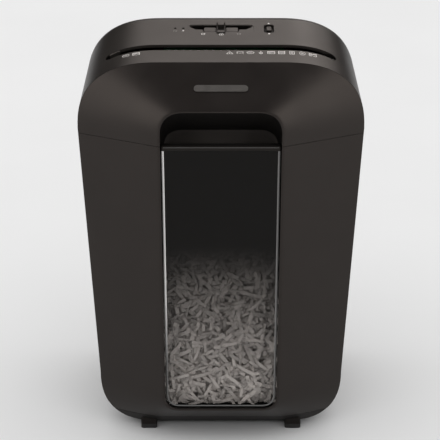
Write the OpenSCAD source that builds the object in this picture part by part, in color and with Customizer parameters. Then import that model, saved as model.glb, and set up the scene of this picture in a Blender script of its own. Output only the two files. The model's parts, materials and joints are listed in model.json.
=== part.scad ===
// Cross-cut paper shredder with a pull-out bin.
// Frame: +Z up, the bin pulls out along -Y, origin on the floor at the middle of the object.

/* [Body] */
// Width of the body at its widest, just above the bin seam
body_w = 280; // [270:1:290]
// Depth of the body, front rim to rear wall
body_d = 224; // [220:1:230]
// Height of the deck's front edge above the floor
deck_z = 395; // [391:1:398]
// How far the deck climbs towards its rear edge
deck_rise = 17; // [15:1:19]
// Height of the seam between the bin front and the head
seam_z = 323; // [322:1:324]
// Height of the body's underside above the floor
belly_z = 5; // [4:1:6]
// How far the front rim stands ahead of the cabinet
mask_d = 40; // [38:1:42]
// Wall thickness of the casings
wall = 2.8; // [2.4:0.1:3]

/* [Opening and window] */
// Half width of the front opening at its top
open_hw = 58.5; // [56:0.5:60]
// Height of the top of the front opening
open_top = 357; // [354:1:359]
// Height of the foot of the front opening
open_foot = 40; // [38:1:42]
// Air gap between the window and the opening
window_gap = 1; // [0.8:0.1:1.4]
// Height that the loose shreds reach in the bin
fill_z = 212; // [120:1:260]

/* [Paper entry and controls] */
// Half length of the paper entry
slot_hw = 113; // [111:1:114]
// Width of the paper entry across the paper
slot_w = 11.5; // [9:0.5:12]
// Travel of the control slider to each side
slider_travel = 13; // [8:1:13]
// Travel of the lock button
button_travel = 2; // [1:0.5:2]

/* [Cutting mechanism] */
// Distance between the two cutter axes
cutter_gap = 28; // [28:1:28]
// Outer radius of a cutting disc
disc_r = 16; // [15.5:0.1:16]
// Thickness of a cutting disc
disc_t = 3.8; // [3.4:0.1:3.8]
// Distance from one disc to the next on a shaft
disc_pitch = 8; // [8:1:8]
// Height of the cutter and gear axes
axis_z = 350; // [349:1:351]

/* [Hidden] */
$fn = 48;
clear = 0.4;            // gap between casings that meet
thin = 0.02;            // thickness of the sections that a hull spans
squareness = 2.5;       // exponent of the body's rounded corners
corner_steps = 10;      // straight pieces in a body corner

front_y = -body_d / 2;
rear_y = body_d / 2;
band_y = front_y + mask_d;       // where the front mask meets the cabinet and top cover
ridge_y = band_y + 96;           // rear edge of the deck
shoulder_y = rear_y - 14;        // where the rear corners start to round
deck_angle = atan(deck_rise / (ridge_y - band_y));
base_cut_z = 20;                 // seam between the base tray and what stands on it

// Stations along Y: [y, half width, top z, corner width, corner height, foot half width, foot z, foot corner width, foot corner height]
hw = body_w / 2;
st_band = [band_y, hw, deck_z, 81, 67, hw - 16, belly_z, 60, 58];
st_ridge = [ridge_y, hw - 5, deck_z + deck_rise, 78, 66, hw - 19, belly_z, 58, 56];
st_shoulder = [shoulder_y, hw - 10, deck_z - 9, 72, 60, hw - 23, belly_z + 1, 54, 52];
st_rear = [rear_y, hw - 22, deck_z - 29, 60, 50, hw - 34, belly_z + 11, 46, 44];
rim = 2;
st_front = [front_y, open_hw + rim, open_top + rim, 26, 26, open_hw - 2 + rim, open_foot - rim, 18, 18];

// Paper path and mechanism, as positions in Y
slot_y = band_y + 31;
cutter_front_y = slot_y - cutter_gap / 2;
cutter_rear_y = slot_y + cutter_gap / 2;
shaft_r = 6;
plate_x = 113;                   // inner face of an end plate
plate_t = 2;
chassis_z = 318;                 // underside of the head chassis
chassis_t = 3;
plate_foot = chassis_z + chassis_t;

// Gear train: module, teeth, and the planes in X that the gears lie in
m_sync = 1;   t_sync = 28;
m_last = 1.5; t_last = 28;  t_two_small = 12;
m_mid = 1;    t_two_big = 44; t_one_small = 12;
m_first = 0.8; t_one_big = 40; t_motor = 10;
gear_w = 4.6;
inner_plane = plate_x + plate_t + 0.6;
outer_plane = inner_plane + gear_w + 0.6;
gear_two_y = cutter_rear_y + m_last * (t_last + t_two_small) / 2;
gear_one_y = gear_two_y + m_mid * (t_two_big + t_one_small) / 2;
motor_y = gear_one_y + m_first * (t_one_big + t_motor) / 2;
pin_r = 2.5;
play = 0.06;                     // radial play of a running fit

// Motor
motor_r = 25;
motor_x0 = 32;
motor_x1 = 108;
motor_shaft_r = 3;

// Bin
tub_top = 308;
tub_foot = 24;
tub_hw = 123;
tub_foot_hw = 111;
tub_rear = shoulder_y - 5;
tub_t = 2;
tub_st = [0, tub_hw, tub_top + 40, 30, 30, tub_foot_hw, tub_foot, 50, 46];
rail_x = 60;
rail_top = 22.4;

// Fasteners and the ledge that carries the head chassis
screw_r = 1.5;
head_r = 3;
hole_r = 1.6;
ledge_hw = 121;
ledge_z = 313;
ledge_rear = 88;
chassis_screw_xy = [for (x = [-125, 125], y = [-40, 40]) [x, y]];

// Cord entry in the back of the top cover
gland_r = 3.8;
gland_x = -96;
gland_z = 338;

// Feet
foot_x = 74.5;
foot_front_y = -71;
foot_rear_y = 84;
foot_r = 8.5;
foot_chamfer = 1.6;
spigot_r = 6;
foot_top = 14;       // top of the spigot that plugs into the base
boss_top = 16.5;

// ---------- helpers ----------

function quadrant(cx, cz, a, b, from) = [
    for (i = [0 : corner_steps])
        let (t = from + 90 * i / corner_steps, c = cos(t), s = sin(t))
        [cx + a * sign(c) * pow(abs(c), 2 / squareness), cz + b * sign(s) * pow(abs(s), 2 / squareness)]
];

// Outline of a station, shrunk by inset, counter-clockwise from the foot
function outline(st, inset = 0) = concat(
    quadrant(st[5] - st[7], st[6] + st[8], st[7] - inset, st[8] - inset, 270),
    quadrant(st[1] - st[3], st[2] - st[4], st[3] - inset, st[4] - inset, 0),
    quadrant(-st[1] + st[3], st[2] - st[4], st[3] - inset, st[4] - inset, 90),
    quadrant(-st[5] + st[7], st[6] + st[8], st[7] - inset, st[8] - inset, 180)
);

// A prism of an outline in the XZ plane, from y0 to y1
module prism_y(points, y0, y1) {
    translate([0, y1, 0]) rotate([90, 0, 0]) linear_extrude(y1 - y0) polygon(points);
}

// Box from its two corners
module box(low, high) {
    translate(low) cube(high - low);
}

// Draws in the YZ plane and extrudes along +X from x0
module along_x(x0, length) {
    translate([x0, 0, 0]) rotate([90, 0, 90]) linear_extrude(length) children();
}

module rod_x(x0, x1, y, z, r) {
    translate([x0, y, z]) rotate([0, 90, 0]) cylinder(h = x1 - x0, r = r);
}

module rounded_rect(half_x, half_y, r) {
    for (s = [-1, 1]) {
        square([2 * (half_x - (s > 0 ? r : 0)), 2 * (half_y - (s > 0 ? 0 : r))], center = true);
        for (t = [-1, 1]) translate([s * (half_x - r), t * (half_y - r)]) circle(r);
    }
}

// Local frame of the sloping deck: x across, y up the slope from its front edge, z out of the deck
module on_deck() {
    translate([0, band_y, deck_z]) rotate([deck_angle, 0, 0]) children();
}

module band_solid(inset = 0, open = 0) {
    hull() {
        prism_y(outline(st_band, inset), band_y - open, band_y - open + thin);
        prism_y(outline(st_ridge, inset), ridge_y, ridge_y + thin);
        prism_y(outline(st_shoulder, inset), shoulder_y - inset / 2 - thin, shoulder_y - inset / 2);
        prism_y(outline(st_rear, inset), rear_y - inset - thin, rear_y - inset);
    }
}

module mask_solid(inset = 0, open = 0) {
    hull() {
        prism_y(outline(st_band, inset), band_y + open - thin, band_y + open);
        prism_y(outline(st_front, inset * 0.4), front_y + inset * 1.1, front_y + inset * 1.1 + thin);
    }
}

// The front opening as a prism through the mask
module opening_prism(grow = 0) {
    prism_y(outline([0, open_hw, open_top, 24, 24, open_hw - 2, open_foot, 16, 16], -grow), front_y - 5, front_y + 12);
}

// ---------- cabinet ----------

foot_places = [for (x = [-foot_x, foot_x], y = [foot_front_y, foot_rear_y]) [x, y, 0]];

module base_tray() {
    color("#1b1a1a") difference() {
        union() {
            difference() {
                intersection() {
                    union() {
                        band_solid();
                        mask_solid();
                    }
                    box([-hw, front_y, 0], [hw, rear_y, base_cut_z - clear / 2]);
                }
                intersection() {
                    union() {
                        band_solid(wall);
                        mask_solid(wall, 1);
                    }
                    box([-hw, front_y, 0], [hw, rear_y, base_cut_z + 1]);
                }
            }
            for (p = foot_places) translate(p + [0, 0, belly_z]) cylinder(h = boss_top - belly_z, r = foot_r);
        }
        for (p = foot_places) translate(p) {
            cylinder(h = foot_top, r = spigot_r + 0.1);
            cylinder(h = boss_top + 1, r = hole_r);
        }
    }
}

// Rubber foot: a pad with a chamfered edge and a spigot that plugs into its boss
module foot(x, y) {
    color("#141414") translate([x, y, 0]) difference() {
        union() {
            cylinder(h = foot_chamfer, r1 = foot_r - foot_chamfer, r2 = foot_r);
            translate([0, 0, foot_chamfer]) cylinder(h = belly_z - 0.05 - foot_chamfer, r = foot_r);
            cylinder(h = foot_top - 0.05, r = spigot_r);
        }
        translate([0, 0, -1]) cylinder(h = belly_z + 1, r = head_r + 0.6);
        cylinder(h = foot_top + 1, r = hole_r);
    }
}

module foot_screws() {
    color("silver") for (p = foot_places) translate(p) {
        translate([0, 0, belly_z - 2]) cylinder(h = 2, r = head_r);
        translate([0, 0, belly_z]) cylinder(h = foot_top - 2, r = screw_r);
    }
}

rear_open_hw = 86;
rear_open_z0 = 44;
rear_open_z1 = 296;
rear_frame_t = 4;
rear_screw_xz = [for (x = [-1, 1], z = [50, 170, 290]) [x * (rear_open_hw - 6), z]];

module rear_window(grow, y0, y1, r) {
    translate([0, y1, (rear_open_z0 + rear_open_z1) / 2]) rotate([90, 0, 0]) linear_extrude(y1 - y0)
        rounded_rect(rear_open_hw + grow, (rear_open_z1 - rear_open_z0) / 2 + grow, r);
}

// Solid frame behind the rear opening, which takes the panel's screws
module rear_frame() {
    difference() {
        rear_window(4, rear_y - wall - rear_frame_t, rear_y - wall + 0.5, 13);
        rear_window(-12, rear_y - 20, rear_y, 4);
        for (p = rear_screw_xz) translate([p[0], rear_y - 20, p[1]]) rotate([-90, 0, 0]) cylinder(h = 20, r = hole_r);
    }
}

module cabinet_shell() {
    color("#221f1f") union() {
        difference() {
            intersection() {
                band_solid();
                box([-hw, band_y + clear / 2, base_cut_z + clear / 2], [hw, rear_y, seam_z - clear / 2]);
            }
            difference() {
                band_solid(wall, 2);
                for (x = [ledge_hw, -hw]) box([x, band_y + 6, ledge_z], [x + hw - ledge_hw, ledge_rear, chassis_z - 0.2]);
            }
            rear_window(0, 100, rear_y + 5, 10);
            for (p = chassis_screw_xy) translate([p[0], p[1], ledge_z - 10]) cylinder(h = 30, r = hole_r);
        }
        rear_frame();
    }
}

module rear_panel() {
    color("#1d1b1b") difference() {
        rear_window(-clear, rear_y - wall + 0.55, rear_y - 0.2, 10 - clear);
        for (p = rear_screw_xz) translate([p[0], rear_y - 10, p[1]]) rotate([-90, 0, 0]) cylinder(h = 20, r = screw_r + 0.2);
        for (p = rear_screw_xz) translate([p[0], rear_y - 1.2, p[1]]) rotate([-90, 0, 0]) cylinder(h = 5, r = head_r + 0.4);
    }
}

module rear_panel_screws() {
    color("silver") for (p = rear_screw_xz) translate([p[0], rear_y - 1.15, p[1]]) rotate([-90, 0, 0]) {
        cylinder(h = 0.9, r = head_r);
        translate([0, 0, -5]) cylinder(h = 5.1, r = screw_r);
    }
}

rail_foot = belly_z + wall + 0.02;
rail_y0 = band_y + 8;
rail_y1 = shoulder_y - 8;

// Rail on the floor of the base tray, which climbs behind the ridge
module bin_rail(s) {
    color("#2b2929") along_x(s * rail_x - 3, 6)
        polygon([[rail_y0, rail_foot], [ridge_y, rail_foot], [rail_y1, rail_foot + st_shoulder[6] - st_ridge[6]],
            [rail_y1, rail_top], [rail_y0, rail_top]]);
}

// ---------- head casings ----------

chassis_half = [[134, band_y + 1], [130.5, ridge_y], [125, 88], [112, 102]];
chassis_plan = concat(chassis_half, [for (i = [len(chassis_half) - 1 : -1 : 0]) [-chassis_half[i][0], chassis_half[i][1]]]);

outlet_hw = 106;     // half width of the shred outlet

module head_chassis() {
    color("#2a2828") difference() {
        union() {
            translate([0, 0, chassis_z]) linear_extrude(chassis_t) polygon(chassis_plan);
            for (x = [-outlet_hw - 4.2, outlet_hw + 0.2]) box([x, band_y + 8, chassis_z - 9], [x + 4, -14, chassis_z + 1]);
        }
        box([-outlet_hw, cutter_front_y - 10, chassis_z - 20], [outlet_hw, cutter_rear_y + 10, chassis_z + 20]);
        box([-60, band_y - 1, chassis_z - 1], [60, band_y + 3, chassis_z + 10]);
        for (p = chassis_screw_xy) translate([p[0], p[1], ledge_z - 10]) cylinder(h = 30, r = hole_r);
    }
}

module chassis_screws() {
    color("silver") for (p = chassis_screw_xy) translate([p[0], p[1], 0]) {
        translate([0, 0, ledge_z + 0.5]) cylinder(h = plate_foot - ledge_z, r = screw_r);
        translate([0, 0, plate_foot + 0.05]) cylinder(h = 2, r = head_r);
    }
}

recess_y = front_y + 32;
recess_top = open_top - 25;
recess_foot = 313;

module recess_solid(grow) {
    hull() {
        prism_y(outline([0, open_hw, open_top, 24, 24, open_hw, recess_foot - 40, 5, 5], -grow), front_y + 3, front_y + 3 + thin);
        prism_y(outline([0, open_hw - 3, recess_top, 18, 12, open_hw - 3, recess_foot - 40, 5, 5], -grow),
            recess_y + grow, recess_y + grow + thin);
    }
}

module hand_recess() {
    color("#161515") difference() {
        intersection() {
            recess_solid(1.8);
            box([-hw, front_y, recess_foot], [hw, 0, 400]);
        }
        recess_solid(0);
        box([-hw, front_y - 1, recess_foot - 1], [hw, front_y + 12, seam_z + 0.4]);
        box([-hw, front_y - 10, 0], [hw, front_y + 3.6 + thin, 400]);
    }
}

module front_fascia() {
    color("#1f1c1c") difference() {
        intersection() {
            mask_solid();
            box([-hw, front_y, seam_z + clear / 2], [hw, band_y - clear / 2, 420]);
        }
        mask_solid(wall, 1);
        opening_prism();
    }
}

vent_pitch = 8;
recess_ly = 73.5;      // middle of the control recess, up the deck
recess_hx = 32.8;
recess_hy = 8;
button_x = 47.8;
button_ly = 72.5;
button_hx = 4;
button_hy = 7.8;
led_x = [-45.4, -37.5];
led_r = 1.3;
collar_t = 2;
board_z = -17.8;
board_t = 1.6;
board_post_x = [-53, 58.5];

module slot_cut(grow, z0, z1) {
    translate([0, slot_y, z0]) linear_extrude(z1 - z0) rounded_rect(slot_hw + grow, slot_w / 2 + grow, slot_w / 2 + grow - 0.01);
}

throat_top = deck_z - 7.5;

module top_cover() {
    color("#55504c") difference() {
        union() {
            difference() {
                intersection() {
                    band_solid();
                    box([-hw, band_y + clear / 2, seam_z + clear / 2], [hw, rear_y, 430]);
                }
                band_solid(wall, 2);
            }
            intersection() {
                slot_cut(collar_t, throat_top, 430);
                band_solid(1);
            }
            on_deck() for (x = board_post_x) translate([x, recess_ly - 9, 0]) {
                translate([0, 0, board_z + board_t + 0.05]) cylinder(h = -board_z - board_t - 1.5, r = 3);
                translate([0, 0, board_z - 0.8]) cylinder(h = 6, r = 1.5);
            }
        }
        slot_cut(0, throat_top - 1, 430);
        on_deck() {
            translate([0, recess_ly, -10]) linear_extrude(20) rounded_rect(recess_hx, recess_hy, 5);
            translate([button_x, button_ly, -10]) linear_extrude(20) rounded_rect(button_hx + 1, button_hy + 1, 2.5);
            for (x = led_x) translate([x, recess_ly, -10]) cylinder(h = 20, r = led_r + 0.1);
        }
        for (i = [-7 : 7]) translate([i * vent_pitch, rear_y - 8, 333]) box([-1.6, 0, 0], [1.6, 12, 22]);
        translate([gland_x, rear_y - 12, gland_z]) rotate([-90, 0, 0]) cylinder(h = 20, r = gland_r + 2.1);
    }
}

throat_foot = axis_z + disc_r + 2;

module throat_guide() {
    end = plate_x - 0.3;
    shoulder = end - 10;
    top = throat_top - 0.4;
    color("#171616") difference() {
        prism_y([[-end, throat_foot], [end, throat_foot], [end, top - 6], [shoulder, top], [-shoulder, top], [-end, top - 6]],
            slot_y - 11, slot_y + 11);
        hull() {
            box([-slot_hw + 2, slot_y - slot_w / 2, throat_top - 0.5], [slot_hw - 2, slot_y + slot_w / 2, throat_top]);
            box([-slot_hw + 2, slot_y - 3.5, throat_foot - 1], [slot_hw - 2, slot_y + 3.5, throat_foot]);
        }
        for (y = [slot_y - 12, slot_y + 8.2]) box([-plate_x, y, throat_foot - 1], [plate_x, y + 3.8, throat_foot + 9]);
    }
}

brow_angle = atan((deck_z - open_top - rim) / mask_d);

module badge() {
    color("#8a8683") translate([0, band_y - 0.54 * mask_d, deck_z - 0.54 * (deck_z - open_top - rim)])
        rotate([brow_angle, 0, 0]) translate([0, 0, 0.05]) linear_extrude(0.7) rounded_rect(26, 3.6, 3.59);
}

// ---------- controls ----------

module control_bezel() {
    color("#3a3735") on_deck() translate([0, recess_ly, 0]) difference() {
        union() {
            translate([0, 0, -6]) linear_extrude(5.4) rounded_rect(recess_hx - 0.3, recess_hy - 0.3, 4.7);
            translate([0, 0, -6]) linear_extrude(2.6) rounded_rect(recess_hx + 2.5, recess_hy + 2.5, 6);
        }
        translate([0, 0, -4.4]) linear_extrude(6) rounded_rect(recess_hx - 1.5, recess_hy - 1.5, 3.5);
        translate([0, 0, -7]) linear_extrude(6) rounded_rect(slider_travel + 5, 2.6, 2.5);
    }
}

module slider_knob() {
    color("#4c4845") on_deck() translate([0, recess_ly, 0]) {
        translate([0, 0, -4]) linear_extrude(2.2) rounded_rect(17.3, 5.8, 2);
        translate([0, 0, -2]) linear_extrude(4.6) rounded_rect(4.2, 6.1, 1.5);
        translate([0, 0, -9]) linear_extrude(5.2) rounded_rect(3.5, 1.8, 1);
    }
}

module slide_switch() {
    color("#202428") on_deck() translate([0, recess_ly, 0]) difference() {
        translate([-24, -7, -16]) cube([48, 14, 9.4]);
        translate([-slider_travel - 5, -2.4, -10]) cube([2 * slider_travel + 10, 4.8, 5]);
    }
}

stem_end = board_z + board_t + button_travel + 3.7;

module lock_button() {
    color("#4c4845") on_deck() translate([button_x, button_ly, 0]) {
        translate([0, 0, -5]) linear_extrude(5.8) rounded_rect(button_hx, button_hy, 1.8);
        translate([0, 0, -4.6]) linear_extrude(1.6) rounded_rect(button_hx + 2, button_hy + 2, 2);
        translate([0, 0, stem_end]) cylinder(h = -4.9 - stem_end, r = 1.6);
    }
}

spring_r = 2.7;
spring_wire = 0.3;
spring_turns = 5;
spring_rings = 12;
spring_sides = 6;
spring_z0 = board_z + board_t + 0.05;
spring_z1 = -5.05;

// Points of a coil's wire: ring i, side j
function coil_point(i, j) =
    let (n = spring_turns * spring_rings, t = 360 * i / spring_rings, a = 360 * j / spring_sides,
        r = spring_r + spring_wire * cos(a),
        z = spring_z0 + spring_wire + (spring_z1 - spring_z0 - 2 * spring_wire) * i / n + spring_wire * sin(a))
    [r * cos(t), r * sin(t), z];

module lock_spring() {
    n = spring_turns * spring_rings;
    points = [for (i = [0 : n], j = [0 : spring_sides - 1]) coil_point(i, j)];
    sides = [for (i = [0 : n - 1], j = [0 : spring_sides - 1])
        let (k = (j + 1) % spring_sides)
        [i * spring_sides + j, (i + 1) * spring_sides + j, (i + 1) * spring_sides + k, i * spring_sides + k]];
    ends = [[for (j = [0 : spring_sides - 1]) j], [for (j = [spring_sides - 1 : -1 : 0]) n * spring_sides + j]];
    color("silver") on_deck() translate([button_x, button_ly, 0]) polyhedron(points, concat(sides, ends));
}

module led(x) {
    color("#101010") on_deck() translate([x, recess_ly, board_z + board_t + 0.05])
        cylinder(h = -board_z - board_t - 0.45, r = led_r);
}

module control_board() {
    color("#1d5a33") on_deck() difference() {
        translate([-57, recess_ly - 13, board_z]) cube([120, 26, board_t]);
        for (x = board_post_x) translate([x, recess_ly - 9, board_z - 2]) cylinder(h = 6, r = 1.6);
    }
}

// ---------- cutting mechanism ----------

module plate_outline() {
    difference() {
        polygon([[band_y + 1, plate_foot + 0.05], [86, plate_foot + 0.05], [86, 364], [60, 374], [-20, 380], [band_y + 1, 368]]);
        for (y = [cutter_front_y, cutter_rear_y]) translate([y, axis_z]) circle(shaft_r + 3);
    }
}

rod_r = 3;
comb_rod_dy = 13;      // the lower tie rods, away from the cutter axes
comb_rod_z = axis_z - 20;
rod_yz = [[cutter_front_y - comb_rod_dy, comb_rod_z], [cutter_rear_y + comb_rod_dy, comb_rod_z], [18, 370]];

module end_plate(s) {
    color("#8f9294") difference() {
        along_x(s > 0 ? plate_x : -plate_x - plate_t, plate_t) plate_outline();
        for (p = rod_yz) rod_x(s * 116 - 6, s * 116 + 6, p[0], p[1], rod_r + 0.05);
        rod_x(s * 116 - 6, s * 116 + 6, motor_y, axis_z, 8);
        for (y = [gear_one_y, gear_two_y]) rod_x(s * 116 - 6, s * 116 + 6, y, axis_z, pin_r + 0.02);
    }
}

module tie_rods() {
    color("silver") for (p = rod_yz) {
        rod_x(-plate_x - plate_t - 2, plate_x + plate_t + 0.2, p[0], p[1], rod_r);
        rod_x(-plate_x - plate_t - 4, -plate_x - plate_t - 0.1, p[0], p[1], rod_r + 1.5);
    }
}

module bushing(s, y) {
    color("#b08d57") difference() {
        union() {
            rod_x(s > 0 ? plate_x - 1 : -plate_x - plate_t, s > 0 ? plate_x + plate_t : -plate_x + 1, y, axis_z, shaft_r + 2.95);
            rod_x(s > 0 ? plate_x - 1.4 : -plate_x + 0.1, s > 0 ? plate_x - 0.1 : -plate_x + 1.4, y, axis_z, shaft_r + 4.5);
        }
        rod_x(-150, 150, y, axis_z, shaft_r + play);
    }
}

disc_n = 26;

module disc(turn) {
    rotate(turn) difference() {
        circle(disc_r);
        for (k = [0 : 4]) rotate(k * 72) polygon([[disc_r - 1.9, 0], [disc_r + 1, -0.3], [disc_r + 1, 3.4]]);
    }
}

// One-piece machined cutter: a shaft with a row of notched discs
module cutter(y, first_x, turn_step, x0, x1) {
    translate([0, y, axis_z]) {
        for (i = [0 : disc_n]) along_x(first_x + i * disc_pitch - disc_t / 2, disc_t) disc(i * turn_step);
        rod_x(x0, x1, 0, 0, shaft_r);
    }
}

module rear_cutter() {
    color("#77797b") {
        cutter(cutter_rear_y, -disc_n * disc_pitch / 2 - 2, 9, -plate_x - plate_t - 7, outer_plane + gear_w);
        sync_gear(cutter_rear_y, 180 / t_sync);
    }
}

module front_cutter() {
    color("#77797b") {
        difference() {
            cutter(cutter_front_y, -disc_n * disc_pitch / 2 + 2, -9, -plate_x - plate_t - 7, plate_x + plate_t);
            rod_x(-150, -plate_x - plate_t - 0.6, cutter_front_y, axis_z, shaft_r + 1);
        }
        sync_gear(cutter_front_y, 0);
    }
}

// Comb whose fingers sweep the gaps between the discs of one cutter
module comb(y, first_x, s) {
    bar_y = y + s * 20.6;
    difference() {
        union() {
            box([-plate_x + 1.8, min(bar_y, bar_y - s * 2.4), axis_z - 16], [plate_x - 1.8, max(bar_y, bar_y - s * 2.4), axis_z + 14]);
            for (i = [0 : disc_n - 1]) {
                x = first_x + (i + 0.5) * disc_pitch;
                box([x - 1.6, min(y + s * 3, bar_y - s * 2), axis_z - 24], [x + 1.6, max(y + s * 3, bar_y - s * 2), axis_z + 11]);
            }
        }
        rod_x(-150, 150, y, axis_z, shaft_r + 1.2);
        rod_x(-150, 150, y + s * comb_rod_dy, comb_rod_z, rod_r + 0.05);
    }
}

module comb_front() {
    color("#262424") comb(cutter_front_y, -disc_n * disc_pitch / 2 + 2, -1);
}

module comb_rear() {
    color("#262424") comb(cutter_rear_y, -disc_n * disc_pitch / 2 - 2, 1);
}

// ---------- gears ----------

pressure = 25;
backlash = 0.16;
flank_steps = 4;

function inv(a) = tan(a) - a * PI / 180;
// Half angle of a tooth at radius r, in degrees
function tooth_half(m, teeth, r) =
    let (rp = m * teeth / 2, rb = rp * cos(pressure), a = acos(min(1, rb / r)))
    90 / teeth - backlash / 2 / rp * 90 / PI + (inv(pressure) - inv(a)) * 180 / PI;

function tooth(m, teeth, k) =
    let (rp = m * teeth / 2, rb = rp * cos(pressure), ro = rp + 0.8 * m, ri = rp - 1.05 * m, r0 = max(rb, ri),
        c = 360 * k / teeth,
        up = [for (i = [0 : flank_steps]) let (r = r0 + (ro - r0) * i / flank_steps) [r, tooth_half(m, teeth, r)]])
    concat(
        [[ri * cos(c - up[0][1]), ri * sin(c - up[0][1])]],
        [for (p = up) [p[0] * cos(c - p[1]), p[0] * sin(c - p[1])]],
        [for (i = [flank_steps : -1 : 0]) [up[i][0] * cos(c + up[i][1]), up[i][0] * sin(c + up[i][1])]],
        [[ri * cos(c + up[0][1]), ri * sin(c + up[0][1])]]
    );

// Spur gear; turn 0 puts a tooth on +x
module gear_2d(m, teeth, turn, bore) {
    difference() {
        rotate(turn) polygon([for (k = [0 : teeth - 1]) each tooth(m, teeth, k)]);
        if (bore > 0) circle(bore);
    }
}

module sync_gear(y, turn) {
    translate([0, y, axis_z]) along_x(-plate_x - plate_t - 0.6 - gear_w, gear_w) gear_2d(m_sync, t_sync, turn, 0);
}

module last_gear() {
    color("#d8d4c8") {
        translate([0, cutter_rear_y, axis_z]) along_x(outer_plane, gear_w) gear_2d(m_last, t_last, 0, shaft_r + 0.01);
    }
}

module gear_two() {
    color("#d8d4c8") translate([0, gear_two_y, axis_z]) {
        along_x(inner_plane, gear_w) gear_2d(m_mid, t_two_big, 0, pin_r + play);
        along_x(inner_plane + gear_w, outer_plane - inner_plane) gear_2d(m_last, t_two_small, 180 / t_two_small, pin_r + play);
    }
}

module gear_one() {
    color("#d8d4c8") translate([0, gear_one_y, axis_z]) {
        along_x(inner_plane, outer_plane - inner_plane) gear_2d(m_mid, t_one_small, 180 / t_one_small, pin_r + play);
        along_x(outer_plane, gear_w) gear_2d(m_first, t_one_big, 0, pin_r + play);
    }
}

module gear_pin(y) {
    color("silver") {
        rod_x(plate_x - 1.5, outer_plane + gear_w + 0.2, y, axis_z, pin_r);
        rod_x(outer_plane + gear_w + 0.2, outer_plane + gear_w + 1.2, y, axis_z, pin_r + 1.5);
        rod_x(plate_x - 1.5, plate_x - 0.05, y, axis_z, pin_r + 2);
    }
}

// ---------- motor and electrics ----------

module motor_can() {
    color("#9a9da0") difference() {
        rod_x(motor_x0, motor_x1, motor_y, axis_z, motor_r);
        rod_x(motor_x0 + 2, motor_x1 - 2, motor_y, axis_z, motor_r - 2);
        rod_x(0, 150, motor_y, axis_z, 5);
        for (a = [0 : 60 : 300]) translate([motor_x0 - 1, motor_y, axis_z]) rotate([a, 0, 0])
            box([0, 10, -3], [4, 19, 3]);
    }
}

module motor_bracket() {
    color("#707375") difference() {
        union() {
            box([motor_x1 + 0.1, motor_y - 27, plate_foot + 0.1], [plate_x - 0.1, motor_y + 27, 368]);
            box([motor_x1 - 24, motor_y - 27, plate_foot + 0.1], [motor_x1 + 0.2, motor_y - 22, plate_foot + 1.6]);
            box([motor_x1 - 24, motor_y + 22, plate_foot + 0.1], [motor_x1 + 0.2, motor_y + 27, plate_foot + 1.6]);
        }
        rod_x(0, 150, motor_y, axis_z, 9);
        for (y = [gear_one_y, gear_two_y]) rod_x(100, 150, y, axis_z, 5.2);
    }
}

module motor_brushes() {
    color("#b08d57") for (s = [-1, 1]) box([motor_x0 + 6, motor_y - 4, s > 0 ? axis_z + 10.4 : axis_z - 22], [motor_x0 + 13, motor_y + 4, s > 0 ? axis_z + 22 : axis_z - 10.4]);
}

fan_r = 20;

module armature() {
    color("#b5652b") translate([0, motor_y, axis_z]) {
        rod_x(14, outer_plane - 0.3, 0, 0, motor_shaft_r);
        rod_x(motor_x0 + 5, motor_x0 + 14, 0, 0, 10);
        rod_x(motor_x0 + 18, motor_x1 - 8, 0, 0, 18);
        along_x(outer_plane - 0.3, gear_w + 0.3) gear_2d(m_first, t_motor, 180 / t_motor, 0);
        rod_x(16, 26, 0, 0, 6);
        for (a = [0 : 45 : 315]) rotate([a, 0, 0]) box([17, 4, -0.8], [25, fan_r, 0.8]);
    }
}

module power_board() {
    color("#1d5a33") difference() {
        box([-100, 20, plate_foot + 6], [2, 92, plate_foot + 7.6]);
        for (x = [-95, -3], y = [25, 87]) translate([x, y, 300]) cylinder(h = 60, r = 1.6);
    }
}

module capacitor() {
    color("#c9b13a") box([-92, 62, plate_foot + 7.65], [-62, 84, plate_foot + 30]);
}

module transformer() {
    color("#3b3b40") {
        box([-50, 40, plate_foot + 7.65], [-18, 68, plate_foot + 30]);
        box([-42, 35, plate_foot + 12], [-26, 73, plate_foot + 26]);
    }
}

module reed_switch() {
    color("#c8c8c8") box([-14, 92.5, chassis_z - 7], [14, 98.5, chassis_z - 0.05]);
}

module paper_sensors() {
    color("#101010") for (s = [-1, 1])
        box([-5, s > 0 ? slot_y + 8.25 : slot_y - 14, throat_foot + 1], [5, s > 0 ? slot_y + 14 : slot_y - 8.25, throat_foot + 8]);
}

module cord_gland() {
    color("#121212") translate([gland_x, 0, gland_z]) rotate([-90, 0, 0]) difference() {
        union() {
            translate([0, 0, rear_y - 10]) cylinder(h = 9.9, r = gland_r + 2);
            translate([0, 0, rear_y - wall - 3]) cylinder(h = 2.8, r = gland_r + 4.5);
        }
        cylinder(h = 200, r = gland_r);
    }
}

// ---------- bin ----------

module tub_prism(inset, y0, y1, z0, z1) {
    intersection() {
        prism_y(outline(tub_st, inset), y0, y1);
        box([-200, -200, z0], [200, 200, z1]);
    }
}

bulkhead_t = 3;       // flange of the bin front that the tub is welded to

module bin_front() {
    color("#221f1f") difference() {
        intersection() {
            mask_solid();
            box([-hw, front_y, base_cut_z + clear / 2], [hw, band_y - clear / 2, seam_z - clear / 2]);
        }
        intersection() {
            mask_solid(wall, 0);
            box([-hw, front_y, base_cut_z + clear / 2 + 2.4], [hw, band_y - clear / 2 - bulkhead_t, 400]);
        }
        tub_prism(tub_t, band_y - 6, band_y + 5, 0, 400);
        opening_prism();
    }
}

module bin_tub() {
    color("#2a2827") difference() {
        tub_prism(0, band_y, tub_rear, 0, tub_top);
        tub_prism(tub_t, band_y - 5, tub_rear - tub_t, 0, tub_top + 5);
    }
}

pane_y = front_y + 2.4;
pane_st = [0, open_hw - window_gap, seam_z + 30, 20, 20, open_hw - 2 - window_gap, open_foot + window_gap, 15, 15];

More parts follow.
